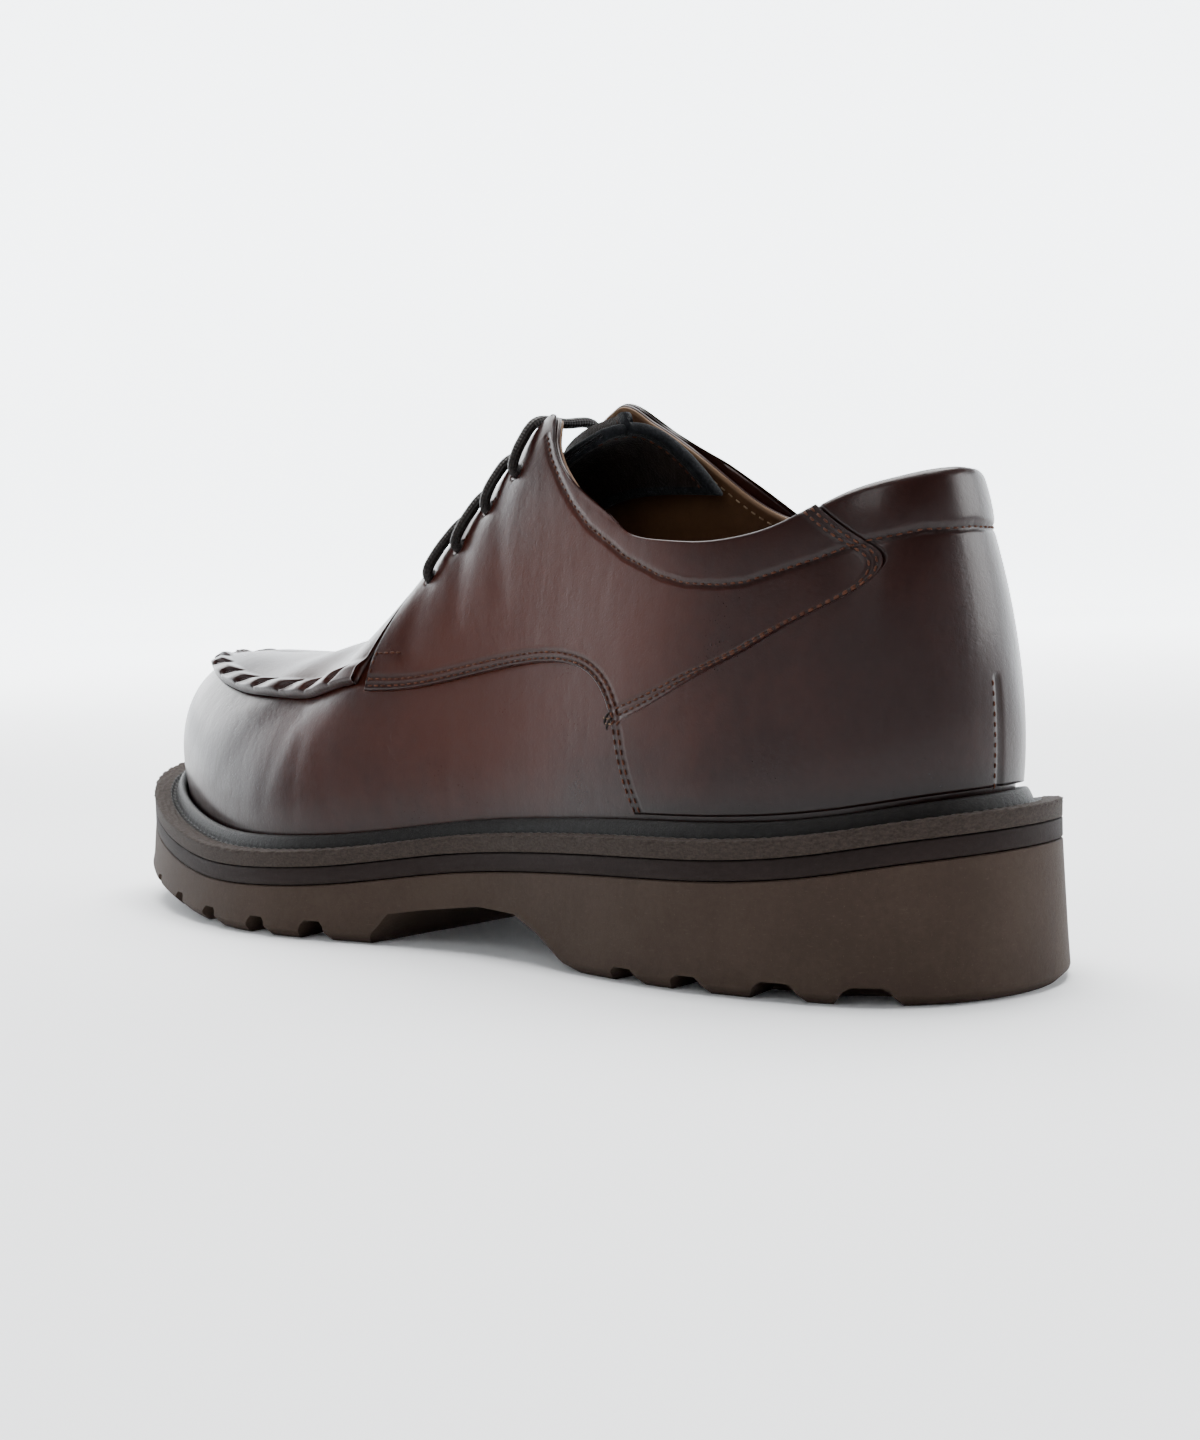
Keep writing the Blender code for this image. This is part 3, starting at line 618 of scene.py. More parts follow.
class Finish:
    """A material and the few ways in which this shoe's finishes are mixed."""

    def __init__(self, name):
        self.material = bpy.data.materials.new(name)
        self.material.use_nodes = True
        self.tree = self.material.node_tree
        self.shader = self.tree.nodes["Principled BSDF"]
        self.place = self.node("ShaderNodeTexCoord", {}, {}, "Object")

    def node(self, kind, settings, sockets, output=0):
        """One node of a kind: its settings first, then the values or links of its sockets."""
        made = self.tree.nodes.new(kind)
        for key, value in settings.items():
            setattr(made, key, value)
        for key, value in sockets.items():
            if isinstance(value, Wire):
                self.tree.links.new(value.socket, made.inputs[key])
            else:
                made.inputs[key].default_value = value
        return Wire(self, made.outputs[output])

    def field(self, name):
        """A number kept on the points of the mesh, such as the distance to a seam in mm."""
        return self.node("ShaderNodeAttribute", {"attribute_name": name}, {}, "Fac")

    def stretched(self, scale):
        """Place scaled along x, y and z: a pattern grows longer where the scale is small."""
        return self.node("ShaderNodeMapping", {}, {"Vector": self.place, "Scale": scale})

    def noise(self, size, detail=3.0, rough=0.5, place=None):
        """Cloudy unevenness from 0 to 1 with spots of about the given size in mm."""
        sockets = {"Vector": place or self.place, "Scale": 1000.0 / size}
        sockets |= {"Detail": detail, "Roughness": rough}
        return self.node("ShaderNodeTexNoise", {}, sockets, "Fac")

    def cells(self, size, feature="F1"):
        """Distance to the nearest of scattered points about the given size in mm apart."""
        sockets = {"Vector": self.place, "Scale": 1000.0 / size}
        return self.node("ShaderNodeTexVoronoi", {"feature": feature}, sockets, "Distance")

    def rise(self, value, low, high):
        """0 below low and 1 above high, smooth between."""
        sockets = {"Value": value, "From Min": low, "From Max": high}
        return self.node("ShaderNodeMapRange", {"interpolation_type": "SMOOTHSTEP"}, sockets, "Result")

    def mix(self, share, a, b):
        """Colour a where share is 0 and b where it is 1."""
        a = (*a, 1.0) if isinstance(a, tuple) else a
        b = (*b, 1.0) if isinstance(b, tuple) else b
        return self.node("ShaderNodeMix", {"data_type": "RGBA"}, {0: share, 6: a, 7: b}, 2)

    def bump(self, height, depth, normal=None):
        """Relief of the given depth in mm where height runs from 0 to 1."""
        sockets = {"Height": height, "Strength": 1.0, "Distance": depth * MM}
        if normal is not None:
            sockets["Normal"] = normal
        return self.node("ShaderNodeBump", {}, sockets)

    def done(self, colour, roughness, normal=None, **plain):
        """Joins the colour, roughness and relief, and sets the plain sockets."""
        for key, value in (("Base Color", colour), ("Roughness", roughness), ("Normal", normal)):
            if isinstance(value, Wire):
                self.tree.links.new(value.socket, self.shader.inputs[key])
            elif isinstance(value, tuple):
                self.shader.inputs[key].default_value = (*value, 1.0)
            elif value is not None:
                self.shader.inputs[key].default_value = value
        for key, value in plain.items():
            self.shader.inputs[key.replace("_", " ")].default_value = value
        return self.material


ESPRESSO = (0.0026, 0.0010, 0.0009)
CHESTNUT = (0.038, 0.0078, 0.0036)
PLUM = (0.0096, 0.0018, 0.0012)


def polished_leather(name, creased=1.0):
    """Polished, hand-burnished box calf: warm where the field tone is high, near black at cut edges from edge
    dye and, as painted shade, by the welt and in seam grooves, eyelets and slots.

    The fields edge and seam are distances in mm to the cut edge and to the closest row of stitches.
    """
    f = Finish(name)
    tone = f.field("tone")
    cloud = f.noise(26.0, 3.0, 0.55)
    mottle = f.noise(3.4, 4.0, 0.6)
    warm = f.rise(tone + (cloud - 0.5) * 0.55 + (mottle - 0.5) * 0.22, 0.05, 0.95)
    base = f.mix(warm, PLUM, CHESTNUT)
    # Darkening towards edges and seams: partly edge dye and burnish along the stitching, partly painted shade
    # where the upper meets the welt and in grooves, slits, eyelets and slots.
    edge_dye_and_shade = 1 - f.rise(f.field("edge"), 0.1, 2.6)
    near_seam = 1 - f.rise(f.field("seam"), 0.25, 1.5)
    base = f.mix(edge_dye_and_shade * 0.62, base, ESPRESSO)
    base = f.mix(near_seam * 0.38, base, ESPRESSO)
    grain = f.noise(0.55, 5.0, 0.62)
    pores = 1 - f.rise(f.cells(0.85), 0.02, 0.16)
    rub = f.noise(1.0, 3.0, 0.6, f.stretched((1.0, 1.0, 0.09)))
    hair = f.rise(rub, 0.60, 0.74)
    base = f.mix(pores * 0.14, base, (0.0017, 0.00084, 0.00084))
    base = f.mix(hair * 0.04, base, (0.05, 0.025, 0.019))
    rough = 0.31 + (cloud - 0.5) * 0.12 + (grain - 0.5) * 0.12 + hair * 0.05 + near_seam * 0.10
    wrinkle = f.noise(7.0, 2.0, 0.5, f.stretched((1.0, 1.0, 0.35)))
    relief = f.bump(wrinkle, 0.16 * creased)
    relief = f.bump(f.rise(f.cells(1.15, "F2"), 0.1, 0.9), 0.022, relief)
    relief = f.bump(grain - pores * 0.6, 0.03, relief)
    relief = f.bump(0 - near_seam, 0.09, relief)
    return f.done(base, rough, relief, Coat_Weight=0.08, Coat_Roughness=0.12, Specular_IOR_Level=0.19)


def tanned_lining(name):
    """Vegetable-tanned lining leather: tan, with darker grain spots, paler along its cut edge."""
    f = Finish(name)
    cloud = f.noise(30.0, 3.0, 0.5)
    grain = f.noise(0.8, 4.0, 0.6)
    base = f.mix(f.rise(cloud, 0.3, 0.7), (0.05, 0.022, 0.0092), (0.069, 0.033, 0.015))
    pale = 1 - f.rise(f.field("edge"), 0.5, 1.5)
    base = f.mix(pale * 0.8, base, (0.11, 0.063, 0.034))
    base = f.mix(f.rise(grain, 0.5, 0.8) * 0.25, base, (0.032, 0.014, 0.0067))
    relief = f.bump(grain, 0.05)
    return f.done(base, 0.58 + (grain - 0.5) * 0.2, relief, Specular_IOR_Level=0.14)


def tongue_leather(name):
    """Blue-black suede rim, dark smooth lining within it, and leather on the outer face."""
    f = Finish(name)
    rim = 1 - f.rise(f.field("edge"), 2.7, 3.1)
    nap = f.noise(0.7, 5.0, 0.7)
    tufts = f.noise(2.2, 3.0, 0.6)
    inner = f.mix(f.rise(f.noise(14.0), 0.3, 0.7), (0.0042, 0.0023, 0.0017), (0.0092, 0.0046, 0.0029))
    suede = f.mix(f.rise(nap * 0.6 + tufts * 0.4, 0.35, 0.68), (0.0019, 0.0023, 0.0031), (0.01, 0.011, 0.013))
    base = f.mix(rim, inner, suede)
    relief = f.bump(nap, 0.35)
    more = {"Specular_IOR_Level": 0.10, "Sheen_Weight": 0.08, "Sheen_Roughness": 0.4}
    return f.done(base, 0.62 + rim * 0.3, relief, **more)


def sewing_thread(name, colour, shade):
    """Twisted waxed thread, with a fine slanted lay."""
    f = Finish(name)
    lay = f.node("ShaderNodeTexWave", {"bands_direction": "DIAGONAL"}, {"Vector": f.place, "Scale": 2200.0})
    fuzz = f.noise(1.6, 3.0, 0.6)
    base = f.mix(f.rise(fuzz, 0.3, 0.7), colour, shade)
    return f.done(base, 0.6, f.bump(lay, 0.05), Specular_IOR_Level=0.12)


def waxed_cord(name):
    """Round waxed cotton cord: a braid of crossing strands, from the fields around and along."""
    f = Finish(name)
    around = f.field("around")
    length = f.field("along")
    one = f.node("ShaderNodeMath", {"operation": "SINE"}, {0: around * 6.0 + length * 3.4})
    two = f.node("ShaderNodeMath", {"operation": "SINE"}, {0: around * 6.0 - length * 3.4})
    braid = one * two
    fuzz = f.noise(0.5, 4.0, 0.65)
    # The colour follows the braid with some fuzz: darker in the hollows between the strands, painted shade.
    base = f.mix(f.rise(braid + (fuzz - 0.5), -0.7, 0.8), (0.0029, 0.0019, 0.0016), (0.011, 0.0071, 0.0059))
    relief = f.bump(fuzz, 0.05, f.bump(braid * 0.5 + 0.5, 0.16))
    return f.done(base, 0.5 + (fuzz - 0.5) * 0.3, relief, Specular_IOR_Level=0.16)


def welt_finish(name):
    """Dark worked welt: smooth storm roll, stitched groove painted near black as shade, rough paler rim and
    side.
    """
    f = Finish(name)
    zone = f.field("zone")
    fibres = f.noise(1.1, 5.0, 0.7, f.stretched((1.0, 1.0, 2.5)))
    specks = f.noise(0.45, 4.0, 0.7)
    rim = f.rise(zone, 0.45, 0.75)
    groove = f.field("groove")
    dark = f.mix(f.rise(fibres, 0.3, 0.7), (0.0031, 0.0024, 0.0021), (0.0059, 0.0046, 0.004))
    frayed = f.rise(fibres * 0.6 + specks * 0.4, 0.32, 0.68)
    worn = f.mix(frayed, (0.0155, 0.0102, 0.0082), (0.036, 0.0265, 0.0215))
    base = f.mix(rim, dark, worn)
    # Near black in the stitched groove, less on the rope's twists: painted shade in the groove.
    base = f.mix(groove * 0.85, base, (0.0017, 0.0015, 0.0014))
    scratch = f.rise(f.noise(2.6, 2.0, 0.5), 0.66, 0.76) * rim
    base = f.mix(scratch * 0.5, base, (0.036, 0.029, 0.024))
    relief = f.bump(specks, 0.10, f.bump(fibres, 0.22))
    return f.done(base, 0.48 + rim * 0.27 + (specks - 0.5) * 0.15, relief, Specular_IOR_Level=0.14)


def sole_rubber(name, low, high, pale, specks=1.0, rough=0.72):
    """Matte moulded rubber with fine pale and dark specks, and faint scuffs along the wall."""
    f = Finish(name)
    grit = f.noise(0.42, 4.0, 0.75)
    dust = f.noise(1.5, 4.0, 0.65)
    cloud = f.noise(22.0, 3.0, 0.5)
    scuff = f.rise(f.noise(2.4, 3.0, 0.6, f.stretched((1.0, 1.0, 5.0))), 0.60, 0.80)
    base = f.mix(f.rise(cloud * 0.6 + dust * 0.4, 0.35, 0.65), low, high)
    base = f.mix(f.rise(grit, 0.60, 0.74) * 0.5 * specks, base, pale)
    base = f.mix((1 - f.rise(grit, 0.27, 0.38)) * 0.5 * specks, base, tuple(0.3 * c for c in low))
    base = f.mix(scuff * 0.25, base, pale)
    relief = f.bump(grit, 0.07, f.bump(dust, 0.10))
    return f.done(base, rough + (grit - 0.5) * 0.2, relief, Specular_IOR_Level=0.12)


def floor_finish(name):
    """Matte pale sweep. It glows beyond the shoe, like a lit backdrop, and stays dim on the near side."""
    f = Finish(name)
    cloud = f.noise(420.0, 1.0, 0.5)
    base = f.mix(f.rise(cloud, 0.3, 0.7), (0.80, 0.81, 0.82), (0.84, 0.85, 0.86))
    split = f.node("ShaderNodeSeparateXYZ", {}, {0: f.place}, "X")
    away = split * -0.71 + f.node("ShaderNodeSeparateXYZ", {}, {0: f.place}, "Y") * -0.70
    glow = f.mix(f.rise(away, 0.30, 1.9), (0.0, 0.0, 0.0), (0.93, 0.97, 1.0))
    f.tree.links.new(glow.socket, f.shader.inputs["Emission Color"])
    f.shader.inputs["Emission Strength"].default_value = 3.8
    return f.done(base, 0.8)


LEATHER = polished_leather("upper_leather")
APRON_LEATHER = polished_leather("apron_leather", 0.5)
LINING = tanned_lining("lining_leather")
TONGUE = tongue_leather("tongue_suede")
THREAD = sewing_thread("seam_thread", (0.034, 0.011, 0.006), (0.075, 0.028, 0.015))
DARK_THREAD = sewing_thread("dark_thread", (0.005, 0.0038, 0.0034), (0.017, 0.012, 0.0092))
PALE_THREAD = sewing_thread("lining_thread", (0.13, 0.08, 0.046), (0.19, 0.13, 0.08))
CORD = waxed_cord("lace_cord")
WELT = welt_finish("welt_leather")
MIDSOLE_TONES = ((0.0095, 0.0056, 0.0048), (0.0125, 0.0076, 0.0066), (0.028, 0.020, 0.017))
OUTSOLE_TONES = ((0.030, 0.0190, 0.0138), (0.037, 0.0242, 0.0176), (0.078, 0.058, 0.046))
MIDSOLE = sole_rubber("midsole_rubber", *MIDSOLE_TONES, 0.7)
OUTSOLE = sole_rubber("outsole_rubber", *OUTSOLE_TONES, 1.3)
FLOOR = floor_finish("floor")


WARM_SPOTS = table(
    "x t z reach amount",
    [
        (30, 105, 84, 36, 0.58), (33, 132, 74, 34, 0.42), (38, 150, 54, 34, 0.50),
        (34, 195, 50, 24, 0.28), (28, 72, 66, 26, 0.22), (-32, 110, 80, 38, 0.45),
        (-38, 150, 52, 34, 0.45), (0, 225, 72, 30, 0.25),
    ],
)


def warmth(points):
    """Tone of the leather at points in mm: warm in the middle of the panels, dark towards toe and heel.

    The sum over the warm spots of amount * exp(-(distance / reach)^2), on a low even tone.
    """
    tone = np.full(points.shape[:-1], 0.12)
    for x, t, z, reach, amount in zip(*WARM_SPOTS.values()):
        tone += amount * np.exp(-((points - (x, t, z)) ** 2).sum(-1) / reach**2)
    return tone


def lace_route():
    """The lace as one line: straight bars outside, and hidden runs along the inside of the facings.

    At each eyelet it goes through the hole along the leather's normal. A bar leaves its eyelet, lies
    over the edge of the facing and crosses straight to the other side. Inside, the two long runs keep
    to either side of the eyelets that they pass. A spline through all the stops, by length, gives
    the line.
    """
    hole = {}
    for side in (1, -1):
        for k, (s, v) in enumerate(zip(EYELETS["station"], EYELETS["share"])):
            hole[side, k] = (side * s, v)

    def outside(side, k):
        q, v = hole[side, k]
        top = float(topline_share(q))
        v = np.array([v - 0.002, v + 0.22 * (top - v), v + 0.62 * (top - v), top])
        lift = bed(q) + OVERLAY + np.array([0.2, 1.75, 1.75, 1.35])
        return skin(np.full(4, q), v, lift)

    def inside(side, a, b, shift):
        (qa, va), (qb, vb) = hole[side, a], hole[side, b]
        w = np.linspace(0, 1, 5)
        q = qa + (qb - qa) * w
        v = va + (vb - va) * w + shift * np.sin(np.pi * w)
        return skin(q, v, face_lift(q) - VAMP_LEATHER)

    def bar(side, k):
        start, end = outside(side, k), outside(-side, k)[::-1]
        crossing = (start[-1] + end[0]) / 2 + [0, 0, 0.5]
        return np.vstack([start, crossing, end])

    lateral, medial = 1, -1
    tail = inside(lateral, 1, 0, 0.0)
    stops = np.vstack(
        [
            tail[2:],
            bar(lateral, 0),
            inside(medial, 0, 2, 0.05),
            bar(medial, 2),
            inside(lateral, 2, 3, 0.0),
            bar(lateral, 3),
            inside(medial, 3, 1, -0.05),
            bar(medial, 1),
            tail[:2],
        ]
    )
    d = np.concatenate([[0], np.cumsum(np.linalg.norm(np.diff(stops, axis=0), axis=1))])
    return spline(d, stops)(np.linspace(0, d[-1], 900))


def make_lace():
    """Round cord along its route, closed at both ends.

    A point is line + radius * (cos(turn) * side + sin(turn) * up), with side and up square to the line.
    """
    line = lace_route()
    ahead = frames(line)
    side = unit(np.cross(ahead, (0.3, 0.5, 0.8)))
    up = np.cross(side, ahead)
    sides = 16
    turn = np.linspace(0, 2 * np.pi, sides, endpoint=False)
    wall = np.cos(turn)[None, :, None] * side[:, None] + np.sin(turn)[None, :, None] * up[:, None]
    points = line[:, None] + CORD_RADIUS * wall
    count = len(line)
    length = np.concatenate([[0], np.cumsum(np.linalg.norm(np.diff(line, axis=0), axis=1))])
    fields = {"around": np.tile(turn, count), "along": np.repeat(length, sides)}
    ends = np.array([np.arange(sides), (count - 1) * sides + np.arange(sides)[::-1]])
    faces = [grid_faces(count, sides, 0, True), ends]
    bars = ("lace_bar_1", "lace_bar_2", "lace_bar_3", "lace_bar_4")
    lace = piece("lace", CORD, points.reshape(-1, 3), faces, fields, stands_for=bars, slot="lace_cord")
    path = to_row(line[::6]).tolist() + [to_row(line[-1]).tolist()]


CREASES = table(
    "q0 v0 q1 v1 depth width",
    [
        (0.655, 0.30, 0.640, 0.06, 0.15, 2.6), (0.690, 0.34, 0.683, 0.10, 0.12, 3.0),
        (0.625, 0.27, 0.600, 0.08, 0.12, 2.6), (0.735, 0.40, 0.760, 0.16, 0.10, 4.0),
        (0.560, 0.28, 0.545, 0.05, 0.09, 2.4), (0.500, 0.24, 0.492, 0.04, 0.08, 2.2),
        (-0.650, 0.36, -0.635, 0.08, 0.15, 3.0), (-0.690, 0.36, -0.700, 0.12, 0.12, 3.0),
        (-0.610, 0.30, -0.585, 0.08, 0.12, 2.6), (0.640, 0.62, 0.640, 0.98, 0.15, 3.2),
        (-0.640, 0.62, -0.640, 0.98, 0.15, 3.2),
    ],
)


def make_vamp():
    """Outer leather of the upper: a thin shell of the last, from the welt seat to the topline.

    A point is skin(q, w * topline_share(q), lift). The lift is face_lift, less each crease's depth *
    exp(-(distance / width)^2) from its short line, plus a slow wave where no overlay covers it.
    """
    q = np.linspace(-1, 1, 621)[:-1]
    w = np.linspace(0, 1, SHELL_ROWS)[:, None]
    top = topline_share(q)
    grid_q = np.broadcast_to(q, (SHELL_ROWS, len(q)))
    v = w * top
    lift = face_lift(grid_q) + 0 * v
    plain = skin(grid_q, v, lift)
    drop = 0 * v
    for q0, v0, q1, v1, depth, width in zip(*CREASES.values()):
        k = np.linspace(0, 1, 24)
        line = skin(q0 + (q1 - q0) * k, v0 + (v1 - v0) * k, np.full(24, VAMP_FACE))
        drop += depth * bell(nearest(plain, line), width)
    swell = 0.22 * wave(plain, 46.0, 3) * smooth(v / 0.10)
    face = skin(grid_q, v, lift - drop + swell * smooth((np.abs(grid_q) - 0.5) / 0.1))
    foot = rim_ring(q, SEAT_INSET, WELT_BOTTOM + 0.4)
    outer = np.concatenate([foot, face])
    back = skin(grid_q, v, lift - VAMP_LEATHER)
    back_foot = rim_ring(q, SEAT_INSET + VAMP_LEATHER, WELT_BOTTOM + 0.4)
    inner = np.concatenate([back_foot, back])
    # edge counts up from the welt, so the leather darkens near it: a painted shadow line where the upper
    # meets the welt.
    fields = {"edge": run(outer, 0) * 0.4, "seam": 9.0}
    round_piece("vamp", LEATHER, outer, inner, top, fields, "upper", "upper_leather")


def make_lining():
    """Lining: a second shell inside the vamp's leather, rounded at the topline, with its stitch row.

    Its inner face is the wall's thickness in from the vamp's face, with a shallow groove 3.4 mm down.
    """
    q = np.linspace(-1, 1, 481)[:-1]
    w = np.linspace(0, 1, SHELL_ROWS)[:, None]
    top = topline_share(q)
    grid_q = np.broadcast_to(q, (SHELL_ROWS, len(q)))
    v = w * top
    lift = face_lift(grid_q) + LINING_LIFT
    outer = skin(grid_q, v, lift)
    depth = run(outer[::-1], 0)[::-1]
    groove = 0.18 * bell(depth - 3.4, 0.7) * (top < 0.999)
    wall = (UPPER_WALL + LINING_LIFT) * cut_edge(depth + 0.25, 0.8) + 0.12
    inner = skin(grid_q, v, lift - wall + groove)
    foot = rim_ring(q, SEAT_INSET - LINING_LIFT, WELT_BOTTOM + 0.4)
    back_foot = rim_ring(q, SEAT_INSET + UPPER_WALL, WELT_BOTTOM + 0.4)
    depth = np.concatenate([depth[:1] + 5, depth])
    fields = {"edge": np.where(top < 0.999, depth, 9.0)}
    inner = np.concatenate([back_foot, inner])
    round_piece("lining", LINING, inner, np.concatenate([foot, outer]), top, fields, None, "lining_leather")
    collar = np.where(np.abs(q) < 0.46)[0]
    inward = grid_normals(inner[:, collar], -last_normal(q[collar], top[collar]))
    line, way = inset_rows(inner[:, collar], inward, "high", 3.4)
    stitches("lining_stitches", PALE_THREAD, line, way, 2.6, 1.9, 0.24)


def round_piece(name, finish, face, back, top, fields, node, slot):
    """Closed thin shell right round the shoe; where it reaches the ridge its two sides are joined there."""
    rows, cols = face.shape[:2]
    chosen = np.unique(np.linspace(0, rows - 1, 16).round().astype(int))
    start = rows * cols
    count = len(chosen)
    c = np.arange(cols)
    far = (c + 1) % cols
    foot = np.stack([c, far, start + far, start + c], -1)
    open_top = np.minimum(top, top[far]) < 0.9999
    high, low = (rows - 1) * cols, start + (count - 1) * cols
    rim = np.stack([high + far, high + c, low + c, low + far], -1)[open_top]
    faces = [grid_faces(rows, cols, 0, True)[:, ::-1], grid_faces(count, cols, start, True), foot, rim]
    points = np.vstack([face.reshape(-1, 3), back[chosen].reshape(-1, 3)])
    made = {"tone": np.concatenate([warmth(face).ravel(), warmth(back[chosen]).ravel()])}
    for key, value in fields.items():
        value = np.broadcast_to(value, face.shape[:2])
        made[key] = np.concatenate([value.ravel(), value[chosen].ravel()])
    stands_for = (node,) if node else ()
    piece(name, finish, points, faces, made, stands_for, slot, merge=True)


def collar_swell(q, v, top):
    """Padding under the leather above the collar stitching: full at the heel, thin towards the facing.

    With p the share of the way from the stitching to the topline, it is fill * p^0.45 * (1 - p^3 / 4).
    """
    s = np.abs(q)
    line = collar_line(s)
    part = np.clip((v - line) / np.maximum(top - line, 0.02), 0, 1.2)
    fill = 1.75 - 1.15 * smooth((s - 0.05) / 0.22) - 0.35 * smooth((s - 0.28) / 0.14)
    shape = np.clip(part, 0, 1) ** 0.45 * (1 - 0.25 * part**3)
    return np.where(v > line, fill * shape, 0.0)


def collar_line(s):
    """Share of the collar stitching at unsigned stations."""
    return np.interp(s, COLLAR_LINE["station"], COLLAR_LINE["share"])


def collar_seams():
    """Points along the collar stitching of both sides, on the overlays."""
    s = np.linspace(0, 0.45, 160)
    return np.vstack([skin(side * s, collar_line(s), bed(s) + OVERLAY) for side in (1, -1)])


def sew(name, finish, q, v, lift, *thread):
    """Stitches along stations q and shares v of an overlay, at a lift over its face."""
    stitches(name, finish, skin(q, v, bed(q) + OVERLAY + lift), last_normal(q, v), *thread)


def make_counter():
    """Heel counter: a patch between the two counter lines, padded above the collar stitching.

    At level p and across a from -1 to 1, the station is a * edge station and the share is back share *
    (1 - a^2) + edge share * a^2, raised by p^4 so that the last row lies on the topline. The lift is
    the leather's thickness, rounded at the side seams and the top, plus the padding, less the
    stitched grooves and the slit of the back seam, each a bell of the distance to its line.
    """
    side_seam = along({k: c[:3] for k, c in COUNTER.items()}, np.linspace(0, 1, 26))
    line = along({k: c[2:] for k, c in COUNTER.items()}, np.linspace(0, 1, 92))
    levels = np.vstack([side_seam[:-1], line])
    p = np.concatenate([np.linspace(0, 3 / 13, 26)[:-1], np.linspace(3 / 13, 1, 92)])[:, None]
    a = 2 * packed(230, 0.55) - 1
    q = a[None] * levels[:, :1]
    back = 0.012 + p * (topline_share(0.0) - 0.012)
    v = back * (1 - a**2) + levels[:, 1:] * a**2
    v = v + p**4 * (topline_share(q[-1]) - v[-1])
    top = topline_share(q)
    under = skin(q, v, bed(q))
    plain = skin(q, v, bed(q) + OVERLAY)
    side = np.minimum(run(plain, 1), run(plain[:, ::-1], 1)[:, ::-1])
    crown = run(plain[::-1], 0)[::-1]
    slit_v = np.linspace(0.004, 0.235, 60)
    slit = skin(np.full(60, 0.0025), slit_v, bed(np.zeros(60)) + OVERLAY)
    cut = nearest(plain, slit)
    groove = nearest(plain, collar_seams())
    free = smooth((0.23 - levels[:, 1:]) / 0.03)
    rounded = free * cut_edge(side, 0.7) + (1 - free) * smooth((side + 0.2) / 1.8)
    lift = bed(q) + OVERLAY * (0.35 + 0.65 * rounded) + collar_swell(q, v, top)
    lift = lift - 0.45 * bell(groove, 0.9) - 0.55 * bell(cut, 0.55)
    lift = lift - 1.6 * (1 - cut_edge(crown, 2.6)) + 0.12 * wave(plain, 38.0, 5)
    face = skin(q, v, lift)
    # seam darkens the leather in the collar groove and the back seam slit, painted shade in these hollows,
    # and along the side stitch rows, partly burnish and partly painted shade; edge darkens the side edges
    # with edge dye and the low rows by the welt as painted shade.
    seam = np.minimum(groove, cut)
    side_rows = np.min([np.abs(side - inset) for inset in SIDE_SEAM_ROWS], axis=0)
    seam = np.minimum(seam, side_rows + 9 * (1 - free))
    fields = {"edge": np.minimum(side, run(plain, 0) * 0.4), "seam": seam, "tone": warmth(face)}
    node = ("heel_counter",)
    counter = panel("counter", LEATHER, face, under, fields, stands_for=node, slot="upper_leather")
    normals = grid_normals(face, last_normal(q, v))
    rows = slice(0, 27)
    for column, word in (("last", "lateral"), ("first", "medial")):
        for inset in SIDE_SEAM_ROWS:
            path, way = inset_rows(face[rows], normals[rows], column, inset)
            stitches(f"side_seam_{word}_{inset:.1f}", THREAD, path, way, 2.2, 1.8, 0.27)
    for side, word in ((1, "lateral"), (-1, "medial")):
        s = np.linspace(0.0, 0.118, 60)
        sew(f"collar_stitches_{word}", THREAD, side * s, collar_line(s), -0.30, 2.1, 1.7, 0.26)
    sew("back_seam_stitches", THREAD, np.full(60, 0.008), slit_v, -0.08, 2.2, 1.6, 0.22)


def quarter_patch(side, u, w):
    """Stations and shares of a quarter: the low, front, counter and top lines blended across.

    A point is (1 - u) * back + u * front + (1 - w) * low + w * top, less the four corners, each
    weighted by its share of u times its share of w.
    """
    counter_line = along({k: c[2:] for k, c in COUNTER.items()}, w)
    low = along(QUARTER_LOW, u)
    front = along(QUARTER_FRONT, w)
    step = unit(np.gradient(counter_line, axis=0) * [SPAN, HEIGHT])
    back = counter_line - SEAM_LAP * np.stack([step[:, 1] / SPAN, -step[:, 0] / HEIGHT], -1)
    low[0] = back[0]
    knots = np.concatenate(
        [
            np.linspace(back[-1, 0], 0.40, 7, endpoint=False),
            np.linspace(0.40, 0.49, 7, endpoint=False),
            np.linspace(0.49, front[-1, 0], 5),
        ]
    )
    s = np.interp(u, np.linspace(0, 1, 19), knots)
    top = np.stack([s, topline_share(side * s)], -1)
    front[:, 1] *= 1 + (top[-1, 1] / front[-1, 1] - 1) * w**2
    u = u[None, :, None]
    w = w[:, None, None]
    patch = (1 - u) * back[:, None] + u * front[:, None] + (1 - w) * low[None] + w * top[None]
    patch -= (1 - u) * (1 - w) * low[0] + u * (1 - w) * low[-1] + (1 - u) * w * top[0] + u * w * top[-1]
    return side * patch[..., 0], patch[..., 1]


PULLS = table(
    "q0 v0 q1 v1 depth",
    [
        (0.49, 0.66, 0.46, 0.46, 0.22), (0.53, 0.62, 0.51, 0.44, 0.24),
        (0.57, 0.58, 0.56, 0.44, 0.2),
    ],
)


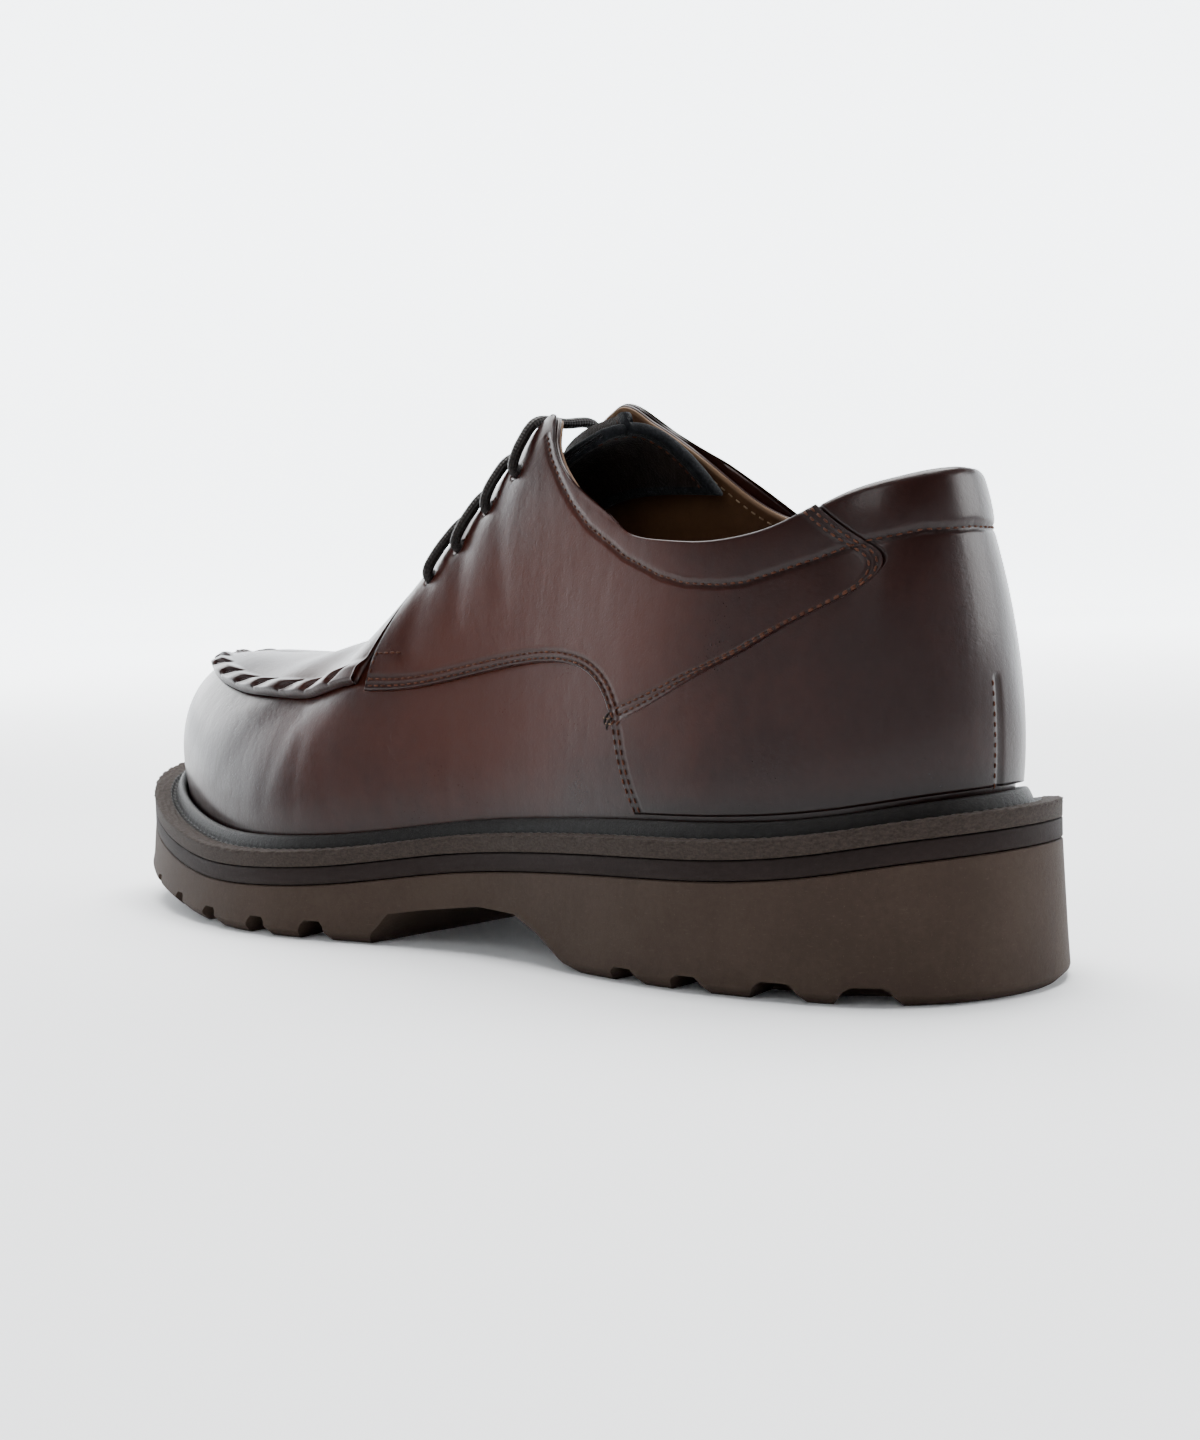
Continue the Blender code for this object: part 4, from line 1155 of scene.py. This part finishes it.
def make_quarter(side, word):
    """Quarter with its facing: cut lower edge, stitched rows, punched eyelets and soft pulls round them.

    The lift is the leather's thickness, rounded along its edges, plus the padding and a slow wave,
    less a bell of the distance to each stitch row and pull, and less a round dimple at each eyelet.
    """
    q, v = quarter_patch(side, packed(230, 0.6), packed(150, 0.6))
    top = topline_share(q)
    under = skin(q, v, bed(q) + 0.15)
    plain = skin(q, v, bed(q) + OVERLAY)
    low, high = run(plain, 0), run(plain[::-1], 0)[::-1]
    first, final = run(plain, 1), run(plain[:, ::-1], 1)[:, ::-1]
    s = EYELETS["station"]
    away = nearest(plain, skin(side * s, EYELETS["share"], bed(s) + OVERLAY))
    groove = nearest(plain, collar_seams())
    open_edge = np.minimum(low, final)
    lift = bed(q) + OVERLAY * (0.35 + 0.65 * cut_edge(open_edge, 0.6)) + 0.10
    lift = lift + collar_swell(q, v, top) * smooth((0.43 - np.abs(q)) / 0.14)
    lift = lift - 0.30 * bell(groove, 0.8) - 1.0 * (1 - cut_edge(high, 1.5))
    rows = [low - inset for inset in LOW_EDGE_ROWS] + [first - inset for inset in COUNTER_ROWS]
    for row, depth in zip(rows, (0.16, 0.16, 0.12, 0.12)):
        lift = lift - depth * bell(row, 0.45)
    lift = lift - 1.5 * (1 - smooth((away - 1.25) / 0.8)) - 0.25 * bell(away, 5.0)
    for q0, v0, q1, v1, depth in zip(*PULLS.values()):
        k = np.linspace(0, 1, 24)
        line = skin(side * (q0 + (q1 - q0) * k), v0 + (v1 - v0) * k, bed(q0 + 0 * k) + OVERLAY)
        lift = lift - depth * bell(nearest(plain, line), 3.6)
    lift = lift + 0.16 * wave(plain, 42.0, 11 + side) * smooth(low / 12)
    face = skin(q, v, lift)
    # seam darkens the leather in the eyelet holes and the collar groove, painted shade in these hollows, and
    # along the sunken stitch rows, partly burnish and partly painted shade; edges darken the cut edges with
    # edge dye.
    seam = np.min([groove, away * 0.6, *np.abs(rows)], axis=0)
    edges = np.min([low, final, high + 0.6], axis=0)
    fields = {"edge": edges, "seam": seam, "tone": warmth(face)}
    node = f"quarter_{word}"
    panel(f"quarter_{word}_leather", LEATHER, face, under, fields, stands_for=(node,), slot="upper_leather")
    normals = grid_normals(face, last_normal(q, v))
    for inset in LOW_EDGE_ROWS:
        path, way = inset_rows(face[:, 6:-8], normals[:, 6:-8], "low", inset)
        stitches(f"{word}_low_stitches_{inset:.1f}", THREAD, path, way)
    for inset in COUNTER_ROWS:
        path, way = inset_rows(face[8:-2], normals[8:-2], "first", inset)
        stitches(f"{word}_counter_stitches_{inset:.1f}", THREAD, path, way)
    s = np.linspace(0.124, 0.452, 240)
    sew(f"{word}_collar_stitches", THREAD, side * s, collar_line(s), -0.12, 2.1, 1.6, 0.26)
    s = np.linspace(0.565, 0.596, 20)
    sew(f"{word}_tack_stitches", THREAD, side * s, np.linspace(0.437, 0.474, 20), 0.12, 2.0, 1.6, 0.26)
    path, way = inset_rows(face[14:52], normals[14:52], "last", 1.8)
    stitches(f"{word}_front_stitches", THREAD, path, way, 2.0, 1.6, 0.24)
    s = np.array([0.3305, 0.3330, 0.3355])
    share = np.array([0.197, 0.207, 0.217])
    sew(f"{word}_bar_tack", DARK_THREAD, side * s, share, 0.25, 1.1, 3.4, 0.34, 62.0)
    sew(f"{word}_thread_ends", PALE_THREAD, side * s, share, 0.25, 1.4, 3.0, 0.17, 128.0)


def make_apron():
    """Apron panel with a raised, puckered rim and slanted slots.

    Stations run from one side of the throat round the toe to the other, and shares from the rim to
    the ridge. The rim's body swells between the slots as 0.5 - 0.5 * cos(2 * pi * slots passed). A
    slot sinks as exp(-(x / 2.8)^4 - (y / 1.15)^4) in axes turned along it, with a low bead inside.
    """
    count, rows = 560, 64
    throat = APRON["station"][0]
    q = np.linspace(throat, 2 - throat, count)
    q = np.where(q > 1, q - 2, q)
    begin = along(APRON, np.linspace(0, 1, 400))
    rim = np.interp(np.abs(q), begin[:, 0], begin[:, 1])
    w = np.concatenate([np.linspace(0, 0.30, 40, endpoint=False), np.linspace(0.30, 1, 24)])[:, None]
    v = rim + (1 - rim) * w
    grid_q = np.broadcast_to(q, v.shape)
    plain = skin(grid_q, v, bed(grid_q) + OVERLAY)
    inward = run(plain, 0)
    way = run(skin(q, rim + 0.06, bed(q) + OVERLAY)[None], 1)[0]
    around = np.where(q > 0, q, q + 2)
    centres = np.interp(np.concatenate([SLOT_STATIONS, 2 - SLOT_STATIONS[::-1]]), around, way)
    place = np.broadcast_to(way, v.shape)
    number = np.interp(way, centres, np.arange(len(centres)))
    along_rim = place - centres[np.round(number).astype(int)]
    slant = SLOT_SLANT * np.where(place < way[-1] / 2, -1, 1)
    x = along_rim * np.cos(slant) + (inward - SLOT_INSET) * np.sin(slant)
    y = -along_rim * np.sin(slant) + (inward - SLOT_INSET) * np.cos(slant)
    slot = np.exp(-((x / 2.8) ** 4) - (y / 1.15) ** 4)
    bead = np.exp(-(((x - 0.3) / 2.1) ** 4) - ((y - 0.3) / 0.45) ** 2)
    fold = np.broadcast_to(number, v.shape) + 0.05 * inward * np.sign(-slant)
    pucker = 0.5 - 0.5 * np.cos(2 * np.pi * fold)
    body = smooth(inward / 0.9) * (1 - smooth((inward - SLOT_INSET) / 4.2))
    lift = bed(grid_q) + OVERLAY * (0.3 + 0.7 * cut_edge(inward, 0.8))
    lift = lift + body * (1.25 + 0.55 * pucker) - 0.30 * smooth((inward - 4) / 4)
    lift = lift - 2.1 * slot + 1.7 * bead + 0.12 * wave(plain, 30.0, 21)
    face = skin(grid_q, v, lift)
    under = skin(grid_q, v, bed(grid_q) - 0.05)
    # The slots are darkened through the edge and seam fields, less on the bead inside them: painted shade in
    # the slots.
    dark = np.clip(slot - 0.8 * bead, 0, 1)
    edges = np.minimum(inward * 1.2, 6 - 6.5 * dark)
    fields = {"edge": edges, "seam": 3.0 - 3.0 * dark, "tone": warmth(face)}
    panel("apron_leather", APRON_LEATHER, face, under, fields, stands_for=("apron",), slot="upper_leather")


TONGUE_TOP = table(
    "across station",
    [
        (-1, 0.350), (-0.6, 0.382), (-0.3, 0.405), (0, 0.423), (0.5, 0.425), (1, 0.432),
    ],
)


def make_tongue():
    """Tongue: a bowed sheet from the throat to its rounded top, hollowed inward in the middle.

    Across u from -1 to 1 and up w from 0 to 1, the station runs from the foot to the spline of the top,
    and the share falls from the ridge with |u|. The sheet sinks inward by 9.6 * smooth((w - 0.35) /
    0.65) * (1 - c * |u|^1.6) + 1.2 * w, with c 1 on the medial side and 0.45 on the lateral side.
    Its half thickness is rounded at the rim, and a little fuller where the suede is folded over.
    """
    rows, cols = 120, 130
    u = (2 * packed(cols, 0.6) - 1)[None]
    w = packed(rows, 0.6)[:, None]
    top_station = spline(TONGUE_TOP["across"], TONGUE_TOP["station"])(u)
    wing = np.where(u < 0, 0.60, 0.66)
    s = TONGUE_FOOT + (top_station - TONGUE_FOOT) * w
    v = 1 - (1 - wing) * np.abs(u) * (0.75 + np.where(u < 0, 0.25, -0.32) * w)
    q = np.where(u < 0, -1.0, 1.0) * s
    sink = 9.6 * smooth((w - 0.35) / 0.65) * (1 - np.where(u < 0, 1, 0.45) * np.abs(u) ** 1.6) + 1.2 * w
    face = skin(q, v, face_lift(q) - UPPER_WALL - GAP - TONGUE_THICKNESS / 2)
    face = face - sink[..., None] * last_normal(q, np.ones_like(q))
    out = unit(np.cross(np.gradient(face, axis=0), np.gradient(face, axis=1)))
    rim = np.min([run(face, 1), run(face[:, ::-1], 1)[:, ::-1], run(face[::-1], 0)[::-1]], axis=0)
    thick = TONGUE_THICKNESS / 2
    rounded = cut_edge(rim, thick)
    half = thick * (0.25 + 0.75 * rounded) + 0.25 * (rim < TONGUE_RIM) * rounded
    middle = face - thick * out
    shift = (half + 0.06 * wave(face, 5.0, 4))[..., None] * out
    inner = middle - shift
    more = {"stands_for": ("tongue",), "slot": "tongue_suede"}
    panel("tongue_leather", TONGUE, middle + shift, inner, {"edge": rim}, rows, **more)
    path, way = inset_rows(inner, -out, "high", 4.6)
    stitches("tongue_stitches", THREAD, path[8:-8], way[8:-8], 2.2, 1.7, 0.22)


WELT_SECTION = table(
    "inset rise",
    [
        (0.05, -4.0), (0.0, -3.0), (0.0, -1.8), (0.0, -0.8), (0.12, -0.25), (0.5, 0.0),
        (1.4, 0.02), (2.6, 0.05), (3.9, 0.0), (4.8, -0.15), (5.3, -0.85), (5.9, -0.75), (6.3, 0.2),
        (6.7, 1.5), (7.2, 2.6), (7.8, 3.25), (8.5, 3.2), (9.1, 2.5), (9.4, 1.2),
    ],
)


def make_welt():
    """Welt: its section carried round the sole outline.

    A spline through the section's rows gives inset and rise. In the groove the rise gains a rope of
    |sin(pi * length / pitch)|^0.6, and the flat rim gets fine waves and a frayed outer corner.
    """
    q = np.linspace(-1, 1, 1401)[:-1]
    plan, _ = outline(q)
    length = run(plan[None], 1)[0]
    rows = np.stack([WELT_SECTION["inset"], WELT_SECTION["rise"]], -1)
    d = np.concatenate([[0], np.cumsum(np.hypot(*np.diff(rows, axis=0).T))])
    both = spline(d, rows)(np.linspace(0, d[-1], 52))
    inset, rise = both[:, :1], both[:, 1:]
    in_groove = bell(inset - 5.45, 0.75)
    rope = np.abs(np.sin(np.pi * (length / ROPE_PITCH + inset * 0.22))) ** 0.6
    place = np.empty((52, len(q), 3))
    place[..., :2] = plan
    place[..., 2] = inset * 3 + rise * 3
    rough = 0.10 * wave(place, 3.2, 8) + 0.08 * wave(place, 1.3, 9)
    on_rim = smooth((5.0 - inset) / 0.8)
    frayed = bell(inset + rise * 0.3 - 0.25, 0.45) * on_rim
    high = rise + in_groove * (0.95 * rope - 0.25) + rough * on_rim * smooth((rise + 3.5) / 1.0)
    inset_all = inset - frayed * (0.12 + 0.30 * wave(place, 2.0, 12)) + 0 * length
    points = edge(np.broadcast_to(q, inset_all.shape), inset_all)
    z = rim_height(points[..., 1]) + high
    bottom = edge(q, np.full(len(q), 9.4))
    last_ring = np.column_stack([bottom, rim_height(bottom[:, 1]) + WELT_BOTTOM])[None]
    rings = np.concatenate([np.dstack([points, z]), last_ring])
    zone = np.concatenate([0 * z + on_rim, 0 * z[:1]])
    # groove marks the stitched groove, less on the rope's twists; the welt's finish paints it near black as
    # shade.
    groove = np.concatenate([in_groove * (1 - 0.55 * rope), 0 * z[:1]])
    band("welt_rim", WELT, rings, {"zone": zone, "groove": groove}, stands_for=("welt",), slot="welt")


def make_layers():
    """Midsole, foot bed and outsole: rows of inset and height carried round the sole outline.

    A height is rim + rise or ground + rise, or a share of the way from the ground to the wall's top.
    """
    q = np.linspace(-1, 1, 1401)[:-1]

    def rim(rise):
        return lambda t: rim_height(t) + rise

    def tread(rise, share=0.0):
        return lambda t: ground(t) + rise + share * (rim_height(t) + OUTSOLE_TOP - ground(t))

    low, high = MIDSOLE_BOTTOM, MIDSOLE_TOP
    rows = [(6.0, rim(low)), (0.25, rim(low)), (0.02, rim(low + 0.25))]
    rows += [(0.02, rim(high - 0.25)), (0.25, rim(high)), (6.0, rim(high))]
    layer("midsole_layer", MIDSOLE, q, rows, "midsole", "midsole_rubber")
    seat, low = SEAT_INSET + UPPER_WALL + 0.6, WELT_BOTTOM
    high = low + INSOLE_THICKNESS
    rows = [(seat + 2.0, rim(low + 0.1)), (seat, rim(low + 0.4)), (seat, rim(high - 0.5))]
    rows += [(seat + 0.5, rim(high + 0.1)), (seat + 6.0, rim(high - 0.2))]
    layer("sock_lining", LINING, q[::2], rows, "insole", "lining_leather")
    rows = [(6.0, tread(0)), (1.9, tread(0)), (1.2, tread(0.12)), (-1.1, tread(2.2)), (-1.3, tread(2.9))]
    rows += [(-0.85, tread(0, 0.34)), (-0.3, tread(0, 0.75)), (0.0, rim(OUTSOLE_TOP - 0.3))]
    rows += [(0.3, rim(OUTSOLE_TOP)), (6.0, rim(OUTSOLE_TOP))]
    carve(layer("outsole_tread", OUTSOLE, q[::2], rows, "outsole", "outsole_rubber"))


def layer(name, finish, q, rows, node, slot):
    """Solid layer of the sole from rows of (inset, height at each plan point), bottom row to top row."""
    rings = []
    for inset, height in rows:
        p = edge(q, np.full(len(q), float(inset)))
        rings.append(np.column_stack([p, height(p[:, 1])]))
    n = len(q)
    k = np.arange(1, n // 2)
    mirror = n - k
    cap = np.stack([k[:-1], k[1:], mirror[1:], mirror[:-1]], -1)
    ends = np.array([[0, 1, n - 1], [n // 2 - 1, n // 2, n // 2 + 1]])
    top = (len(rings) - 1) * n
    side = grid_faces(len(rings), n, 0, True)
    faces = [side, cap[:, ::-1], ends[:, ::-1], cap + top, ends + top]
    fields = {"edge": np.full(n * len(rings), 9.0), "tone": np.full(n * len(rings), 0.3)}
    return piece(name, finish, np.vstack(rings), faces, fields, (node,), slot)


ARCH = [(95, -4), (95, 0), (98.5, 1.9), (109, 7.9), (118, 11.5), (131, 12)]
ARCH += [(150, 9.6), (160, 8), (167, 0), (167, -4)]
NOTCHES = table(
    "from_heel width depth",
    [
        (19, 15, 4.2), (38.5, 14, 4.2), (60, 11, 3.8), (78.5, 10.5, 3.6), (183, 10.5, 5.0),
        (202, 9.5, 4.8), (224, 9.5, 4.6), (244, 8, 4.4), (264, 6.5, 4.2),
    ],
)
RIBS = table(
    "from_heel half_width",
    [
        (26, 19), (47, 19), (68, 19), (193, 30), (213, 30), (234, 30), (254, 22),
    ],
)
RIB_SECTION = [(-1.8, -4), (-1.8, 0), (-1.1, 2.2), (1.1, 2.2), (1.8, 0), (1.8, -4)]


def carve(sole):
    """Cuts the arch, the side notches and the ribs of the tread out of the outsole, and keeps the result."""
    prisms = [prism(ARCH, (1, 0, 0), (0, 1, 0), (-80, 0, 0), 160)]
    stations = np.linspace(0, 1, 600)
    for side in (1, -1):
        plan, normal = outline(side * stations)
        for t, width, depth in zip(*NOTCHES.values()):
            i = int(np.argmin(np.abs(plan[:, 1] - t)))
            out = np.array([normal[i, 0], normal[i, 1], 0.0])
            ahead = np.array([-out[1], out[0], 0.0])
            ahead = ahead if ahead[1] > 0 else -ahead
            w = width / 2
            half = [(w, -4), (w, 0), (w * 0.66, depth * 0.78), (w * 0.44, depth)]
            section = [(-a, b) for a, b in half] + half[::-1]
            start = np.array([plan[i, 0], plan[i, 1], ground(plan[i, 1])]) + 5 * out
            prisms.append(prism(section, -out, ahead, start, NOTCH_REACH))
    for t, wide in zip(*RIBS.values()):
        prisms.append(prism(RIB_SECTION, (1, 0, 0), (0, 1, 0), (-wide, t, ground(t)), 2 * wide))
    points = np.vstack([p for p, _ in prisms])
    faces = []
    start = 0
    for p, f in prisms:
        faces += [[v + start for v in face] for face in f]
        start += len(p)
    mesh = bpy.data.meshes.new("cuts")
    mesh.from_pydata(to_row(points).tolist(), [], faces)
    bm = bmesh.new()
    bm.from_mesh(mesh)
    bmesh.ops.recalc_face_normals(bm, faces=bm.faces)
    bm.to_mesh(mesh)
    bm.free()
    tool = bpy.data.objects.new("cuts", mesh)
    bpy.context.scene.collection.objects.link(tool)
    cut = sole.modifiers.new("cuts", "BOOLEAN")
    cut.object = tool
    cut.operation = "DIFFERENCE"
    cut.solver = "EXACT"
    shaped = bpy.data.meshes.new_from_object(sole.evaluated_get(bpy.context.evaluated_depsgraph_get()))
    sole.modifiers.clear()
    sole.data = shaped
    bpy.data.objects.remove(tool, do_unlink=True)
    shaped.set_sharp_from_angle(angle=np.radians(32))


def prism(section, way, side, start, reach):
    """Section of (along, up) points swept from a start point: its points and faces."""
    near = [np.array(start, float) + a * np.array(side) + np.array((0, 0, u)) for a, u in section]
    far = [p + reach * np.array(way, float) for p in near]
    n = len(near)
    faces = [list(range(n)), list(range(2 * n - 1, n - 1, -1))]
    faces += [[k, (k + 1) % n, n + (k + 1) % n, n + k] for k in range(n)]
    return np.array(near + far), faces


def make_floor():
    """Pale floor that turns up into a low round wall: a profile of radius and height turned once."""
    profile = [(0.0, 0.0), (1.6, 0.0), (2.6, 0.0), (3.1, 0.08), (3.4, 0.35), (3.5, 0.8), (3.5, 1.6)]
    d = np.arange(len(profile))
    fine = spline(d, profile)(np.concatenate([[0, 1], np.linspace(2, d[-1], 30)]))
    fine[:3, 1] = 0.0
    sides = 96
    turn = np.linspace(0, 2 * np.pi, sides, endpoint=False)
    radius, height = np.maximum(fine[:, :1], 0.001), fine[:, 1:]
    points = np.dstack([radius * np.cos(turn), radius * np.sin(turn), height + 0 * turn])
    mesh = bpy.data.meshes.new("floor")
    faces = grid_faces(len(fine), sides, 0, True).tolist() + [list(range(sides))]
    mesh.from_pydata(points.reshape(-1, 3).tolist(), [], faces)
    mesh.polygons.foreach_set("use_smooth", np.ones(len(mesh.polygons), bool))
    mesh.materials.append(FLOOR)
    floor = bpy.data.objects.new("floor", mesh)
    bpy.context.scene.collection.objects.link(floor)


def soft_light(name, place, aim, size, watts):
    """Square area light at a place in metres, turned to face an aim point."""
    light = bpy.data.lights.new(name, "AREA")
    light.shape = "SQUARE"
    light.size = size
    light.energy = watts
    lamp = bpy.data.objects.new(name, light)
    back = unit(np.array(place, float) - np.array(aim, float))
    side = unit(np.cross((0, 0, 1.0), back)) if abs(back[2]) < 0.99 else np.array([1.0, 0, 0])
    rise = np.cross(back, side)
    lamp.matrix_world = Matrix([(*row,) for row in zip(side, rise, back, place)] + [(0, 0, 0, 1)])
    bpy.context.scene.collection.objects.link(lamp)


def light_studio():
    """Dim room on the near side, a big softbox over the far side, and low boxes that rim toe and heel."""
    world = bpy.data.worlds.new("studio")
    world.use_nodes = True
    world.node_tree.nodes["Background"].inputs["Color"].default_value = (0.92, 0.95, 1.0, 1.0)
    world.node_tree.nodes["Background"].inputs["Strength"].default_value = 0.16
    bpy.context.scene.world = world
    soft_light("top_softbox", (-0.45, -0.35, 1.7), (0, 0, 0), 1.7, 120)
    soft_light("toe_side_softbox", (-0.25, -1.5, 0.6), (0, -0.05, 0.06), 0.7, 6)
    soft_light("heel_side_softbox", (-1.15, 1.05, 0.6), (0, 0.05, 0.06), 0.7, 12)
    soft_light("near_softbox", (1.5, 0.35, 1.35), (0, 0.05, 0.06), 0.6, 7)


make_lace()
make_vamp()
make_lining()
make_counter()
make_quarter(1, "lateral")
make_quarter(-1, "medial")
make_apron()
make_tongue()
make_welt()
make_layers()
make_floor()
light_studio()
